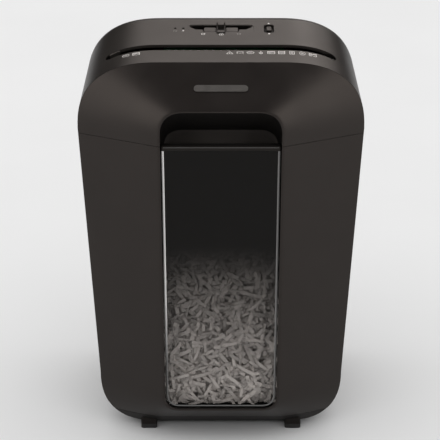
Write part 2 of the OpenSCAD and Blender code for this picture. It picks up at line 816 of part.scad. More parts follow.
module window_pane() {
    color([0.35, 0.35, 0.35, 0.45]) difference() {
        intersection() {
            union() {
                prism_y(outline(pane_st), pane_y, pane_y + 9);
                prism_y(outline(pane_st, -2.8), pane_y + 2.2, pane_y + 3.8);
            }
            box([-hw, front_y, 0], [hw, 0, seam_z - 5]);
        }
        prism_y(outline(pane_st, 2.2), pane_y + 2.2, pane_y + 20);
    }
}

module grip_rail() {
    color("#2a2626") box([-open_hw + window_gap, pane_y - 0.6, seam_z - 4.9], [open_hw - window_gap, pane_y + 9, seam_z - clear / 2]);
}

module bin_runner(s) {
    color("#d0ccc0") difference() {
        box([s * rail_x - 6, band_y + 4, base_cut_z + 0.6], [s * rail_x + 6, tub_rear - 2, tub_foot - 0.05]);
        box([s * rail_x - 3.4, band_y - 5, base_cut_z - 1], [s * rail_x + 3.4, tub_rear + 5, rail_top + 0.4]);
    }
}

module bin_magnet() {
    color("#55585a") box([-10, tub_rear + 0.05, tub_top - 20], [10, tub_rear + 3, tub_top - 6]);
}

heap_hw = 100;
heap_foot = tub_foot + tub_t + 0.5;
heap_front = front_y + 14;
crust_t = 3.5;
bay_rear = band_y - bulkhead_t - 0.5;

module heap_solid(inset, foot) {
    intersection() {
        union() {
            tub_prism(tub_t + 0.6 + inset, bay_rear - 1, tub_rear - tub_t - 1 - inset, 0, fill_z - inset);
            intersection() {
                mask_solid(wall + 1.2 + inset, 0);
                box([-heap_hw, heap_front, base_cut_z + 4], [heap_hw, bay_rear, fill_z - inset]);
            }
        }
        box([-heap_hw + inset, heap_front + inset, foot], [heap_hw - inset, 100, fill_z]);
    }
}

// Crust with the weight of loose paper shreds, open underneath
module shredded_paper() {
    color("#a9a49c") difference() {
        heap_solid(0, heap_foot);
        heap_solid(crust_t, heap_foot - 10);
    }
}

// ---------- nodes ----------

base_tray();
cabinet_shell();
rear_panel();
rear_panel_screws();
foot(-foot_x, foot_front_y);  // foot_front_left
foot(foot_x, foot_front_y);  // foot_front_right
foot(-foot_x, foot_rear_y);  // foot_rear_left
foot(foot_x, foot_rear_y);  // foot_rear_right
foot_screws();
bin_rail(-1);  // bin_rail_left
bin_rail(1);  // bin_rail_right
head_chassis();
chassis_screws();
hand_recess();
front_fascia();
top_cover();
throat_guide();
badge();
control_bezel();
led(led_x[0]);  // led_overheat
led(led_x[1]);  // led_bin_open
control_board();
slide_switch();
end_plate(-1);  // end_plate_left
end_plate(1);  // end_plate_right
tie_rods();
comb_front();
comb_rear();
bushing(-1, cutter_front_y);  // bushing_front_left
bushing(1, cutter_front_y);  // bushing_front_right
bushing(-1, cutter_rear_y);  // bushing_rear_left
bushing(1, cutter_rear_y);  // bushing_rear_right
gear_pin(gear_one_y);  // gear_one_pin
gear_pin(gear_two_y);  // gear_two_pin
motor_can();
motor_bracket();
motor_brushes();
power_board();
capacitor();
transformer();
reed_switch();
paper_sensors();
cord_gland();
bin_front();
bin_tub();
window_pane();
grip_rail();
bin_runner(-1);  // bin_runner_left
bin_runner(1);  // bin_runner_right
bin_magnet();
shredded_paper();
slider_knob();
lock_button();
lock_spring();
front_cutter();
rear_cutter();
last_gear();
gear_two();
gear_one();
armature();
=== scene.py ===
"""The paper shredder's looks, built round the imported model.

Smooth casings, window, shreds and controls stand in for the CAD's plain shapes; other nodes get materials.
"""

import json
import random
from math import atan2, copysign, cos, pi, radians, sin

import bmesh
import bpy
from mathutils import Matrix, Vector

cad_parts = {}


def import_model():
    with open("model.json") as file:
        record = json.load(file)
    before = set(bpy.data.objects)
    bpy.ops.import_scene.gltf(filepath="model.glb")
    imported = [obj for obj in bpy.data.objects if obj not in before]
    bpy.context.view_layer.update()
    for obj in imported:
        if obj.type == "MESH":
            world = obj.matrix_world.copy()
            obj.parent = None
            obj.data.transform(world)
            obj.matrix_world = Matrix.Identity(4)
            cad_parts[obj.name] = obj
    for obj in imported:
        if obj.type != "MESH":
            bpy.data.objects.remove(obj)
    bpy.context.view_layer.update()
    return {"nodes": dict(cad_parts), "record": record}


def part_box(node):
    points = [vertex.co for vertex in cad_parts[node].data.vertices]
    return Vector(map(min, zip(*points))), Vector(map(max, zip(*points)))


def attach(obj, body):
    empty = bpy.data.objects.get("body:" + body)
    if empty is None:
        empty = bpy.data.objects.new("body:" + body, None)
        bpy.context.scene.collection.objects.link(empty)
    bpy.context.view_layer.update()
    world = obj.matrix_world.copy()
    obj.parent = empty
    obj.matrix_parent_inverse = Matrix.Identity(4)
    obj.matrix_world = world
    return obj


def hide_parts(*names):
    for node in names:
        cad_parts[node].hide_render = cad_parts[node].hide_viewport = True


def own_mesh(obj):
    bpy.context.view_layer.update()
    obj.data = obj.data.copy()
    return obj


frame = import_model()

MM = 0.001


def mm(*values):
    """Millimetres to metres."""
    return tuple(v * MM for v in values)


# ---------- sizes, in metres, as in the design ----------

CLEAR = 0.2 * MM                       # half of the gap between casings that meet
WALL = 2.8 * MM
FRONT_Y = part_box("front_fascia")[0][1]
REAR_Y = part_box("cabinet_shell")[1][1]
BAND_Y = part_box("cabinet_shell")[0][1] - CLEAR
SEAM_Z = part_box("cabinet_shell")[1][2] + CLEAR
BASE_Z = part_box("cabinet_shell")[0][2] - CLEAR
BELLY_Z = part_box("base_tray")[0][2]
HALF_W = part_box("top_cover")[1][0]
RIDGE_Y = BAND_Y + 96 * MM
SHOULDER_Y = REAR_Y - 14 * MM
DECK_Z = 395 * MM
RIDGE_Z = 412 * MM
DECK_ANGLE = atan2(RIDGE_Z - DECK_Z, RIDGE_Y - BAND_Y)
OPEN_HALF = 58.5 * MM
OPEN_TOP = 357 * MM
OPEN_FOOT = 40 * MM
FEET = ("foot_front_left", "foot_front_right", "foot_rear_left", "foot_rear_right")
RIM = 2 * MM
SQUARENESS = 2.5
SLOT_Y = BAND_Y + 31 * MM
SLOT_HALF = 113 * MM
SLOT_WIDTH = 11.5 * MM
THROAT_Z = DECK_Z - 7.5 * MM

# Stations along Y: half width, top, corner width and height, then the same for the foot
BAND = (HALF_W, DECK_Z, *mm(81, 67), HALF_W - 16 * MM, BELLY_Z, *mm(60, 58))
RIDGE = (HALF_W - 5 * MM, RIDGE_Z, *mm(78, 66), HALF_W - 19 * MM, BELLY_Z, *mm(58, 56))
SHOULDER = (HALF_W - 10 * MM, DECK_Z - 9 * MM, *mm(72, 60), HALF_W - 23 * MM, BELLY_Z + 1 * MM, *mm(54, 52))
REAR = (HALF_W - 22 * MM, DECK_Z - 29 * MM, *mm(60, 50), HALF_W - 34 * MM, BELLY_Z + 11 * MM, *mm(46, 44))
FRONT = (OPEN_HALF + RIM, OPEN_TOP + RIM, *mm(26, 26), OPEN_HALF, OPEN_FOOT - RIM, *mm(18, 18))
STATIONS = [(FRONT_Y, FRONT), (BAND_Y, BAND), (RIDGE_Y, RIDGE), (SHOULDER_Y, SHOULDER), (REAR_Y, REAR)]
TUB = mm(123, 348, 30, 30, 111, 24, 50, 46)
PANE_GAP, PANE_CURVE = 1 * MM, 2.6 * MM
PANE_HALF = OPEN_HALF - PANE_GAP
PANE = (PANE_HALF, SEAM_Z + 30 * MM, *mm(20, 20), PANE_HALF - 2 * MM, OPEN_FOOT + PANE_GAP, *mm(15, 15))

# ---------- small helpers ----------


def link(obj):
    bpy.context.collection.objects.link(obj)
    return obj


def mesh_object(name, verts, faces):
    mesh = bpy.data.meshes.new(name)
    mesh.from_pydata([tuple(v) for v in verts], [], faces)
    mesh.validate()
    return link(bpy.data.objects.new(name, mesh))


def tidy_normals(obj):
    """Merges points that meet and turns every face outwards."""
    bm = bmesh.new()
    bm.from_mesh(obj.data)
    bmesh.ops.remove_doubles(bm, verts=bm.verts, dist=1e-6)
    bmesh.ops.recalc_face_normals(bm, faces=bm.faces)
    bm.to_mesh(obj.data)
    bm.free()


def smooth(obj, angle=35):
    """Smooth shading with the edges over that angle kept sharp."""
    bm = bmesh.new()
    bm.from_mesh(obj.data)
    for face in bm.faces:
        face.smooth = True
    limit = radians(angle)
    for edge in bm.edges:
        edge.smooth = len(edge.link_faces) == 2 and edge.calc_face_angle(0) < limit
    bm.to_mesh(obj.data)
    bm.free()
    return obj


def set_tones(obj, tones):
    """Stores a tone for each point, read by the paper material and by the painted edge highlight."""
    obj.data.attributes.new("tone", "FLOAT", "POINT").data.foreach_set("value", tones)


def apply_modifiers(obj):
    graph = bpy.context.evaluated_depsgraph_get()
    graph.update()
    mesh = bpy.data.meshes.new_from_object(obj.evaluated_get(graph))
    obj.modifiers.clear()
    obj.data = mesh
    return obj


def bevel(obj, width, angle=40, segments=2):
    mod = obj.modifiers.new("edge", "BEVEL")
    mod.width = width
    mod.segments = segments
    mod.limit_method = "ANGLE"
    mod.angle_limit = radians(angle)
    mod.use_clamp_overlap = True
    return obj


def weighted(obj):
    """Smooth shading that keeps the flat faces flat."""
    for face in obj.data.polygons:
        face.use_smooth = True
    mod = obj.modifiers.new("normals", "WEIGHTED_NORMAL")
    mod.keep_sharp = True
    mod.weight = 80
    return obj


def cut(obj, *tools):
    """Cuts the tools out of the object and deletes them."""
    for tool in tools:
        mod = obj.modifiers.new("cut", "BOOLEAN")
        mod.operation = "DIFFERENCE"
        mod.solver = "EXACT"
        mod.object = tool
        apply_modifiers(obj)
        bpy.data.objects.remove(tool)
    return obj


def join(name, objects):
    """One mesh from several, which are removed."""
    bm = bmesh.new()
    for obj in objects:
        part = obj.data.copy()
        part.transform(obj.matrix_world)
        bm.from_mesh(part)
        bpy.data.objects.remove(obj)
    mesh = bpy.data.meshes.new(name)
    bm.to_mesh(mesh)
    bm.free()
    return link(bpy.data.objects.new(name, mesh))


def piece(obj, body, slot, *nodes, look=None):
    """Finishes a piece: the material of its slot or the look given, the body it rides on, and hides the CAD
    nodes it stands for.
    """
    obj.data.materials.clear()
    obj.data.materials.append(look or SHADES[slot])
    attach(obj, body)
    if nodes:
        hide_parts(*nodes)


def loft(name, rings, closed=False, poles=(None, None)):
    """Skins rings of equal length; closed joins the last to the first, a pole closes an end with a fan."""
    count = len(rings[0])
    verts = [p for ring in rings for p in ring]
    faces = []
    pairs = [(k, k + 1) for k in range(len(rings) - 1)]
    if closed:
        pairs.append((len(rings) - 1, 0))
    for a, b in pairs:
        for i in range(count):
            j = (i + 1) % count
            faces.append((a * count + i, a * count + j, b * count + j, b * count + i))
    for pole, k in zip(poles, (0, len(rings) - 1)):
        if pole is None:
            continue
        verts.append(pole)
        tip = len(verts) - 1
        faces += [(k * count + i, k * count + (i + 1) % count, tip) for i in range(count)]
    obj = mesh_object(name, verts, faces)
    tidy_normals(obj)
    return obj


def keep_between(obj, low=None, high=None):
    """Cuts an upright slab out of a closed mesh and caps the cuts."""
    bm = bmesh.new()
    bm.from_mesh(obj.data)
    for height, sign in ((low, -1), (high, 1)):
        if height is None:
            continue
        made = bmesh.ops.bisect_plane(
            bm, geom=bm.verts[:] + bm.edges[:] + bm.faces[:], dist=1e-7,
            plane_co=(0, 0, height), plane_no=(0, 0, sign), clear_outer=True)
        rim = [e for e in made["geom_cut"] if isinstance(e, bmesh.types.BMEdge)]
        bmesh.ops.triangle_fill(bm, edges=rim, use_beauty=True, normal=(0, 0, sign))
    bmesh.ops.recalc_face_normals(bm, faces=bm.faces)
    bm.to_mesh(obj.data)
    bm.free()
    return obj


def rounded_outline(half_x, half_y, radius, steps=6):
    """Points of a rectangle with rounded corners, round the origin."""
    points = []
    for quarter, (sx, sy) in enumerate(((1, 1), (-1, 1), (-1, -1), (1, -1))):
        cx, cy = sx * (half_x - radius), sy * (half_y - radius)
        for k in range(steps + 1):
            a = radians(90 * (quarter + k / steps))
            points.append((cx + radius * cos(a), cy + radius * sin(a)))
    return points


def grown(half, by):
    """Half sizes of a rectangle that is larger by that much on every side."""
    return [value + by for value in half]


def prism(name, outline, z0, z1, frame_of=Matrix.Identity(4)):
    """Pushes a convex outline along Z."""
    rings = [[frame_of @ Vector((x, y, z)) for x, y in outline] for z in (z0, z1)]
    middle = Vector((sum(p[0] for p in outline), sum(p[1] for p in outline), 0)) / len(outline)
    poles = [frame_of @ Vector((middle.x, middle.y, z)) for z in (z0, z1)]
    return loft(name, rings, poles=poles)


def extrusion(name, outline, z0, z1, frame_of=Matrix.Identity(4)):
    """Pushes any outline along Z, with many-sided ends."""
    count = len(outline)
    verts = [frame_of @ Vector((x, y, z)) for z in (z0, z1) for x, y in outline]
    faces = [tuple(range(count - 1, -1, -1)), tuple(range(count, 2 * count))]
    faces += [(i, (i + 1) % count, count + (i + 1) % count, count + i) for i in range(count)]
    obj = mesh_object(name, verts, faces)
    tidy_normals(obj)
    return obj


def lathe(name, profile, steps=48, place=Matrix.Identity(4)):
    """Turns a profile of (radius, height) about Z."""
    rings = []
    for radius, height in profile:
        turn = (2 * pi * k / steps for k in range(steps))
        rings.append([place @ Vector((radius * cos(a), radius * sin(a), height)) for a in turn])
    poles = (place @ Vector((0, 0, profile[0][1])), place @ Vector((0, 0, profile[-1][1])))
    return loft(name, rings, poles=poles)


# ---------- the body's outline ----------

TOP_STEPS, CORNER_STEPS, SIDE_STEPS, LOW_STEPS, FOOT_STEPS = 10, 26, 8, 20, 8


def arc(cx, cz, a, b, start, steps):
    """Quarter of a superellipse, clockwise from an angle."""
    points = []
    for k in range(steps + 1):
        t = radians(start - 90 * k / steps)
        c, s = cos(t), sin(t)
        points.append((
            cx + a * copysign(abs(c) ** (2 / SQUARENESS), c if abs(c) > 1e-12 else 1),
            cz + b * copysign(abs(s) ** (2 / SQUARENESS), s)))
    return points


def mix(a, b, t):
    """The tuple that lies the share t of the way from a to b."""
    return tuple(p + (q - p) * t for p, q in zip(a, b))


def half_outline(st, inset):
    """Right half of an outline, from the middle of the top to the middle of the foot."""
    hw, top, cw, ch, fhw, foot, fw, fh = st
    points = [((hw - cw) * k / TOP_STEPS, top - inset) for k in range(TOP_STEPS)]
    points += arc(hw - cw, top - ch, cw - inset, ch - inset, 90, CORNER_STEPS)
    a, b = (hw - inset, top - ch), (fhw - inset, foot + fh)
    points += [mix(a, b, k / SIDE_STEPS) for k in range(1, SIDE_STEPS)]
    points += arc(fhw - fw, foot + fh, fw - inset, fh - inset, 0, LOW_STEPS)
    points += [((fhw - fw) * (1 - k / FOOT_STEPS), foot + inset) for k in range(1, FOOT_STEPS + 1)]
    return points


def ring_at(st, y, inset=0.0):
    """A station's whole outline at a depth."""
    right = half_outline(st, inset)
    left = [(-x, z) for x, z in reversed(right[1:-1])]
    return [Vector((x, y, z)) for x, z in right + left]


def station(y):
    """The body's station at y, straight between the stated ones and beyond the last."""
    inner = [k for k in range(1, len(STATIONS) - 1) if STATIONS[k][0] <= y]
    k = inner[-1] if inner else 0
    (y0, a), (y1, b) = STATIONS[k], STATIONS[k + 1]
    return mix(a, b, (y - y0) / (y1 - y0))


def soft_station(y, reach):
    """A station averaged over a short stretch, which rounds the edge where two stretches meet."""
    samples = [station(y + reach * (k / 6 - 1)) for k in range(13)]
    return tuple(sum(column) / len(samples) for column in zip(*samples))


def band_station(y):
    """The station behind the mask, with rounded ridge and shoulder; the mask's own slope stays out of it."""
    reach = min(7 * MM, max(y - BAND_Y, 0.0))
    return soft_station(y, reach) if y < REAR_Y - 1e-9 else REAR


def bezier_rings(a, b, c, steps=4):
    """Rings that round a corner from ring a to ring c, with ring b at the corner."""
    rings = []
    for k in range(steps + 1):
        t = k / steps
        rings.append([p * (1 - t) ** 2 + q * 2 * t * (1 - t) + r * t * t for p, q, r in zip(a, b, c)])
    return rings


def spaced(a, b, count):
    """Evenly spaced numbers from a to b."""
    return [a + (b - a) * k / (count - 1) for k in range(count)]


def grid_faces(first, rows, columns):
    """Quads of a grid of points, row by row from the point with index first."""
    corners = [first + r * columns + c for r in range(rows - 1) for c in range(columns - 1)]
    return [(k, k + 1, k + columns + 1, k + columns) for k in corners]


def shell_poles():
    """Middles of the inner and the outer face of the back."""
    height = (SEAM_Z + BASE_Z) / 2
    return [Vector((0, REAR_Y - inset, height)) for inset in (WALL, 0.0)]


def band_rows(start, inset):
    """Skin behind the mask, from a depth to the back, with close rows where it turns."""
    rear = REAR_Y - inset
    stops = [start] + spaced(start + 4 * MM, RIDGE_Y - 8 * MM, 8)
    stops += spaced(RIDGE_Y - 6 * MM, RIDGE_Y + 6 * MM, 7) + spaced(RIDGE_Y + 8 * MM, SHOULDER_Y - 8 * MM, 6)
    stops += spaced(SHOULDER_Y - 6 * MM, SHOULDER_Y + 6 * MM, 6)
    rings = [ring_at(band_station(y), y, inset) for y in stops]
    slope_end = ring_at(station(rear - 4 * MM), rear - 4 * MM, inset)
    edge = ring_at(REAR, rear, inset)
    flat = ring_at(REAR, rear, inset + 4 * MM)
    return rings + bezier_rings(slope_end, edge, flat)


def mask_rows(end):
    """Outer skin of the mask, from the cabinet to the opening's rim and into the opening."""
    stops = spaced(end, FRONT_Y + 1.6 * MM, 9)
    rings = [ring_at(station(y), y) for y in stops[:-1]]
    slope_end = ring_at(station(stops[-1]), stops[-1])
    rings += bezier_rings(slope_end, ring_at(FRONT, FRONT_Y), ring_at(FRONT, FRONT_Y, 0.9 * MM), 3)
    rings += bezier_rings(ring_at(FRONT, FRONT_Y, RIM - 0.7 * MM), ring_at(FRONT, FRONT_Y, RIM),
                          ring_at(FRONT, FRONT_Y + 0.7 * MM, RIM), 3)
    return rings + [ring_at(FRONT, FRONT_Y + 3 * MM, RIM)]


def inner_lip():
    """Inner edge of the mask, behind the opening's rim."""
    return ring_at(FRONT, FRONT_Y + 1.1 * WALL, 0.4 * WALL)


def band_shell(name):
    """Hollow body behind the mask, from the head's top to the base."""
    start = BAND_Y + CLEAR
    rings = list(reversed(band_rows(start, WALL))) + band_rows(start, 0.0)
    return loft(name, rings, poles=shell_poles())


def mask_shell(name):
    """Hollow mask: the brow, the shoulders and the sloping front round the opening."""
    end = BAND_Y - CLEAR
    return loft(name, mask_rows(end) + [inner_lip(), ring_at(station(end), end, WALL)], closed=True)


def deck_height(x, y):
    """Height of the deck's skin over a point."""
    hw, top, cw, ch = band_station(y)[:4]
    over = max(abs(x) - (hw - cw), 0.0) / cw
    return top - ch * (1 - (1 - over ** SQUARENESS) ** (1 / SQUARENESS))


DECK = Matrix.Translation((0, BAND_Y, DECK_Z)) @ Matrix.Rotation(DECK_ANGLE, 4, "X")

# ---------- materials ----------


def fill(node, **values):
    """Sets a node's inputs; a _ stands for a space in an input's name."""
    for key, value in values.items():
        node.inputs[key.replace("_", " ")].default_value = value


class Nodes:
    """A node material round one Principled shader."""

    def __init__(self, name, color, roughness, metallic=0.0):
        self.material = bpy.data.materials.new(name)
        self.material.use_nodes = True
        self.tree = self.material.node_tree
        self.shader = self.tree.nodes["Principled BSDF"]
        fill(self.shader, Base_Color=(*color, 1), Roughness=roughness, Metallic=metallic)
        self.place = self.add("ShaderNodeTexCoord").outputs["Object"]

    def add(self, kind, **settings):
        node = self.tree.nodes.new(kind)
        for key, value in settings.items():
            setattr(node, key, value)
        return node

    def join(self, a, b):
        self.tree.links.new(a, b)

    def noise(self, size, detail=3.0, stretch=(1, 1, 1)):
        """Noise with features of that size in metres."""
        mapping = self.add("ShaderNodeMapping")
        fill(mapping, Scale=stretch)
        self.join(self.place, mapping.inputs["Vector"])
        node = self.add("ShaderNodeTexNoise")
        fill(node, Scale=1 / size, Detail=detail)
        self.join(mapping.outputs["Vector"], node.inputs["Vector"])
        return node.outputs["Fac"]

    def remap(self, value, low, high, from_low=0.3, from_high=0.7):
        """Stretches a value; the from range suits noise, which stays near its middle."""
        node = self.add("ShaderNodeMapRange")
        fill(node, From_Min=from_low, From_Max=from_high, To_Min=low, To_Max=high)
        self.join(value, node.inputs["Value"])
        return node.outputs["Result"]

    def blend(self, value, low, high, blend_type="MIX"):
        """Colour between low and high; each of the three is a socket or a fixed value."""
        node = self.add("ShaderNodeMix", data_type="RGBA", blend_type=blend_type)
        first, second = [s for s in node.inputs if s.type == "RGBA"]
        for given, socket in ((value, node.inputs["Factor"]), (low, first), (high, second)):
            if isinstance(given, bpy.types.NodeSocket):
                self.join(given, socket)
            else:
                socket.default_value = (*given, 1) if isinstance(given, tuple) else given
        return [s for s in node.outputs if s.type == "RGBA"][0]

    def drive(self, name, socket):
        self.join(socket, self.shader.inputs[name])

    def paint(self, color):
        self.drive("Base Color", color)

    def bump(self, value, depth, strength):
        node = self.add("ShaderNodeBump")
        fill(node, Distance=depth, Strength=strength)
        self.join(value, node.inputs["Height"])
        self.drive("Normal", node.outputs["Normal"])


def scaled(color, factor):
    return tuple(min(c * factor, 1.0) for c in color)


def plastic(name, color, roughness, grain=0.5 * MM, depth=0.03 * MM, specular=0.3):
    """Moulded plastic: fine spark texture, faint mottling, and edges rubbed a little lighter."""
    n = Nodes(name, color, roughness)
    mottle = n.noise(28 * MM, 4)
    edge = n.remap(n.add("ShaderNodeNewGeometry").outputs["Pointiness"], 0, 1, 0.52, 0.6)
    worn = n.add("ShaderNodeMath", operation="MULTIPLY")
    n.join(edge, worn.inputs[0])
    n.join(n.remap(n.noise(9 * MM, 5), 0, 1), worn.inputs[1])
    base = n.blend(n.remap(mottle, 0, 1), scaled(color, 0.93), scaled(color, 1.07))
    n.paint(n.blend(worn.outputs[0], base, scaled(color, 1.25)))
    n.drive("Roughness", n.remap(mottle, roughness - 0.02, roughness + 0.03))
    n.bump(n.noise(grain, 2), depth, 0.6)
    fill(n.shader, Specular_IOR_Level=specular, Specular_Tint=(1, 0.88, 0.8, 1))
    return n.material


def metal(name, color, roughness, grain=0.15 * MM, stretch=(1, 1, 1), depth=0.01 * MM, stain=0.85):
    """Bare or plated metal with a drawn grain, uneven sheen and faint stains."""
    n = Nodes(name, color, roughness, 1.0)
    streaks = n.noise(grain, 3, stretch)
    n.paint(n.blend(n.remap(n.noise(12 * MM, 5), 0, 1), scaled(color, stain), color))
    n.drive("Roughness", n.remap(streaks, roughness - 0.08, roughness + 0.1))
    n.bump(streaks, depth, 0.4)
    return n.material


def rubber(name, color):
    """Dull rubber with some dust on it."""
    n = Nodes(name, color, 0.75)
    n.paint(n.blend(n.remap(n.noise(5 * MM, 6), 0, 1, 0.45, 0.75), color, scaled(color, 2.2)))
    n.bump(n.noise(0.35 * MM, 3), 0.04 * MM, 0.7)
    return n.material


def paper(name, color, roughness=0.85):
    """Paper strips: each has its own tone, held in the mesh, over fine fibres."""
    n = Nodes(name, color, roughness)
    tone = n.add("ShaderNodeAttribute", attribute_name="tone").outputs["Fac"]
    fibre = n.noise(0.7 * MM, 4)
    # The lowest tones give nearly black paper, which the sheet inside the heap uses as painted shade
    shade = n.blend(tone, scaled(color, 0.06), color)
    speckle = n.blend(n.remap(fibre, 0, 1), (0.6, 0.6, 0.6), (1, 1, 1))
    n.paint(n.blend(0.25, shade, speckle, "MULTIPLY"))
    n.bump(fibre, 0.05 * MM, 0.4)
    fill(n.shader, Specular_IOR_Level=0.2)
    return n.material


def smoked(name, low_z, high_z, stops):
    """Smoked clear plastic, its own tint deepened with height as painted shade over the shreds towards the
    top; stops are (share of the height, cover).
    """
    n = Nodes(name, (0.006, 0.0055, 0.005), 0.05)
    height = n.add("ShaderNodeSeparateXYZ")
    n.join(n.place, height.inputs["Vector"])
    ramp = n.add("ShaderNodeValToRGB")
    marks = ramp.color_ramp.elements
    while len(marks) < len(stops):
        marks.new(0.5)
    for mark, (share, cover) in zip(marks, stops):
        mark.position = share
        mark.color = (cover, cover, cover, 1)
    n.join(n.remap(height.outputs["Z"], 0, 1, low_z, high_z), ramp.inputs["Fac"])
    n.drive("Alpha", ramp.outputs["Color"])
    n.drive("Roughness", n.remap(n.noise(30 * MM, 2), 0.035, 0.07))
    fill(n.shader, Specular_IOR_Level=0.11)
    n.material.surface_render_method = "BLENDED"
    return n.material


def mottled(name, color, roughness, grain, detail, darker, **settings):
    """Ink or a plain dark plastic whose shade varies over a grain."""
    n = Nodes(name, color, roughness)
    n.paint(n.blend(n.remap(n.noise(grain, detail), 0, 1), scaled(color, darker), color))
    fill(n.shader, **settings)
    return n.material


def board(name, color):
    """Circuit board: solder mask over a faint grid of traces."""
    n = Nodes(name, color, 0.35)
    brick = n.add("ShaderNodeTexBrick")
    light, dark, trace = ((*scaled(color, factor), 1) for factor in (1, 0.8, 1.8))
    fill(brick, Scale=90, Mortar_Size=0.012, Color1=light, Color2=dark, Mortar=trace)
    n.join(n.place, brick.inputs["Vector"])
    n.paint(brick.outputs["Color"])
    n.bump(brick.outputs["Fac"], 0.03 * MM, 0.5)
    return n.material


def floor_material(name):
    """Pale backdrop paper."""
    n = Nodes(name, (0.86, 0.86, 0.86), 0.6)
    n.paint(n.blend(n.remap(n.noise(0.4, 3), 0, 1), (0.85, 0.85, 0.85), (0.88, 0.88, 0.88)))
    fill(n.shader, Specular_IOR_Level=0.1)
    return n.material


# Share of the window's height and cover there: nearly clear at the foot, nearly black at the top, which
# paints shade over the upper shreds
TINT_AND_PAINTED_SHADE = ((0, 0.12), (0.22, 0.18), (0.5, 0.32), (0.76, 0.5), (0.88, 0.74), (0.97, 0.94))
SHADES = {
    "casing": plastic("casing_plastic", (0.0105, 0.009, 0.0086), 0.37),
    "deck_cover": plastic("deck_plastic", (0.015, 0.0135, 0.0125), 0.38),
    # The base's own black plastic, made darker still as painted shade on the low lip over the floor
    "base_black": plastic("base_plastic", (0.005, 0.0046, 0.0045), 0.45, 0.8 * MM, 0.05 * MM, 0.2),
    "bin_inner": plastic("tub_plastic", (0.03, 0.028, 0.027), 0.42),
    # Near-black for the walls of the paper entry, the hand pocket and the button's surround: painted shade
    # where shade falls
    "recess_black": plastic("recess_painted_shade", (0.004, 0.0037, 0.0036), 0.5, specular=0.12),
    "grip": plastic("grip_plastic", (0.013, 0.012, 0.0112), 0.45, specular=0.1),
    # Near-black bezel: painted shade on the floor of the control recess
    "bezel": plastic("bezel_painted_shade", (0.0035, 0.0032, 0.003), 0.45),
    "knob": plastic("knob_plastic", (0.0035, 0.0032, 0.003), 0.38),
    "button": plastic("button_plastic", (0.015, 0.0135, 0.0125), 0.38),
    "light_pipe": mottled("lens_plastic", (0.004,) * 3, 0.18, 0.8 * MM, 2, 0.8, Transmission_Weight=0.3),
    "badge_plate": metal("badge_metal", (0.22, 0.21, 0.2), 0.42, 0.2 * MM, (0.05, 1, 1)),
    "foot_rubber": rubber("foot_rubber", (0.008, 0.008, 0.008)),
    "chassis": plastic("chassis_plastic", (0.014, 0.0135, 0.013), 0.5, 0.8 * MM, 0.05 * MM),
    "slide_plastic": plastic("slide_plastic", (0.52, 0.5, 0.45), 0.4),
    "gear_plastic": plastic("gear_plastic", (0.66, 0.63, 0.55), 0.35),
    "screw_steel": metal("screw_steel", (0.52, 0.52, 0.53), 0.32),
    "plate_steel": metal("plate_steel", (0.46, 0.47, 0.49), 0.36, 0.3 * MM, (1, 0.04, 1)),
    "cutter_steel": metal("cutter_steel", (0.25, 0.25, 0.26), 0.34, 0.12 * MM, (0.2, 1, 1), 0.015 * MM, 0.7),
    "pin_steel": metal("pin_steel", (0.6, 0.6, 0.61), 0.18),
    "spring_steel": metal("spring_steel", (0.55, 0.55, 0.55), 0.25),
    "bushing_bronze": metal("bushing_bronze", (0.45, 0.3, 0.14), 0.45),
    "motor_steel": metal("motor_steel", (0.5, 0.5, 0.51), 0.3, 0.3 * MM, (0.05, 1, 1)),
    "brush_brass": metal("brush_brass", (0.6, 0.44, 0.18), 0.35),
    "rotor": metal("rotor_windings", (0.42, 0.18, 0.08), 0.4, 0.6 * MM, (0.1, 1, 1), 0.2 * MM, 0.6),
    "board": board("board_laminate", (0.012, 0.1, 0.035)),
    "capacitor_film": plastic("capacitor_plastic", (0.5, 0.33, 0.04), 0.3),
    "transformer_core": metal("transformer_core", (0.07, 0.07, 0.08), 0.5, 0.35 * MM, (1, 1, 12), 0.1 * MM),
    "switch_body": plastic("switch_plastic", (0.01, 0.012, 0.014), 0.4),
    "reed": plastic("reed_plastic", (0.5, 0.5, 0.5), 0.4),
    "magnet": plastic("magnet_ferrite", (0.035, 0.035, 0.038), 0.6, 0.6 * MM, 0.1 * MM),
    "shreds": paper("shredded_paper", (0.73, 0.68, 0.645)),
    "window": smoked("smoked_window", 40 * MM, 225 * MM, TINT_AND_PAINTED_SHADE),
}
# Lighter copy of the pocket's plastic for its back wall: painted light
POCKET_BACK_PAINTED_LIGHT = plastic("pocket_back_painted_light", (0.034, 0.031, 0.029), 0.6, 1.1 * MM, 0.1 * MM)
MARK_WHITE = mottled("printed_white", (0.78, 0.76, 0.74), 0.55, 1.5 * MM, 3, 0.85)
# Pale material for the painted highlight on the pane's edge and the grip rail
PAINTED_EDGE_HIGHLIGHT = paper("painted_edge_highlight", (0.85, 0.84, 0.83), 0.25)

for entry in frame["record"]["subparts"]:
    node = frame["nodes"][entry["node"]]
    node.data.materials.clear()
    node.data.materials.append(SHADES[entry["material_slot"]])

# ---------- casings ----------

RECESS_V = 73.5 * MM                   # middle of the control recess, up the deck
RECESS_HALF = mm(32.8, 8)
BUTTON_U, BUTTON_V = mm(47.8, 72.5)    # middle of the lock button, across and up the deck
BUTTON_HALF = mm(4, 7.8)
LED_U = mm(-45.4, -37.5)
LED_R = 1.3 * MM
GLAND_X, GLAND_Z, GLAND_R = mm(-96, 338, 5.9)
VENT_PITCH, VENT_Z, VENT_HALF = 8 * MM, 344 * MM, mm(1.6, 11)
REACH = mm(-9, 10)                     # how far a cutting tool goes below and above the deck's skin
TO_REAR = Matrix.Rotation(-pi / 2, 4, "X")
REAR_TOOL_Y, REAR_TOOL = REAR_Y - 8 * MM, 16 * MM    # where a tool through the back starts, and its length


def slot_outline(grow=0.0):
    """Outline of the paper entry, grown to all sides."""
    half = SLOT_WIDTH / 2 + grow
    return rounded_outline(SLOT_HALF + grow, half, half - 0.01 * MM, 10)


def on_deck(u, v):
    """Places the origin on the deck's skin, u across and v up from the deck's foot."""
    return DECK @ Matrix.Translation((u, v, 0))


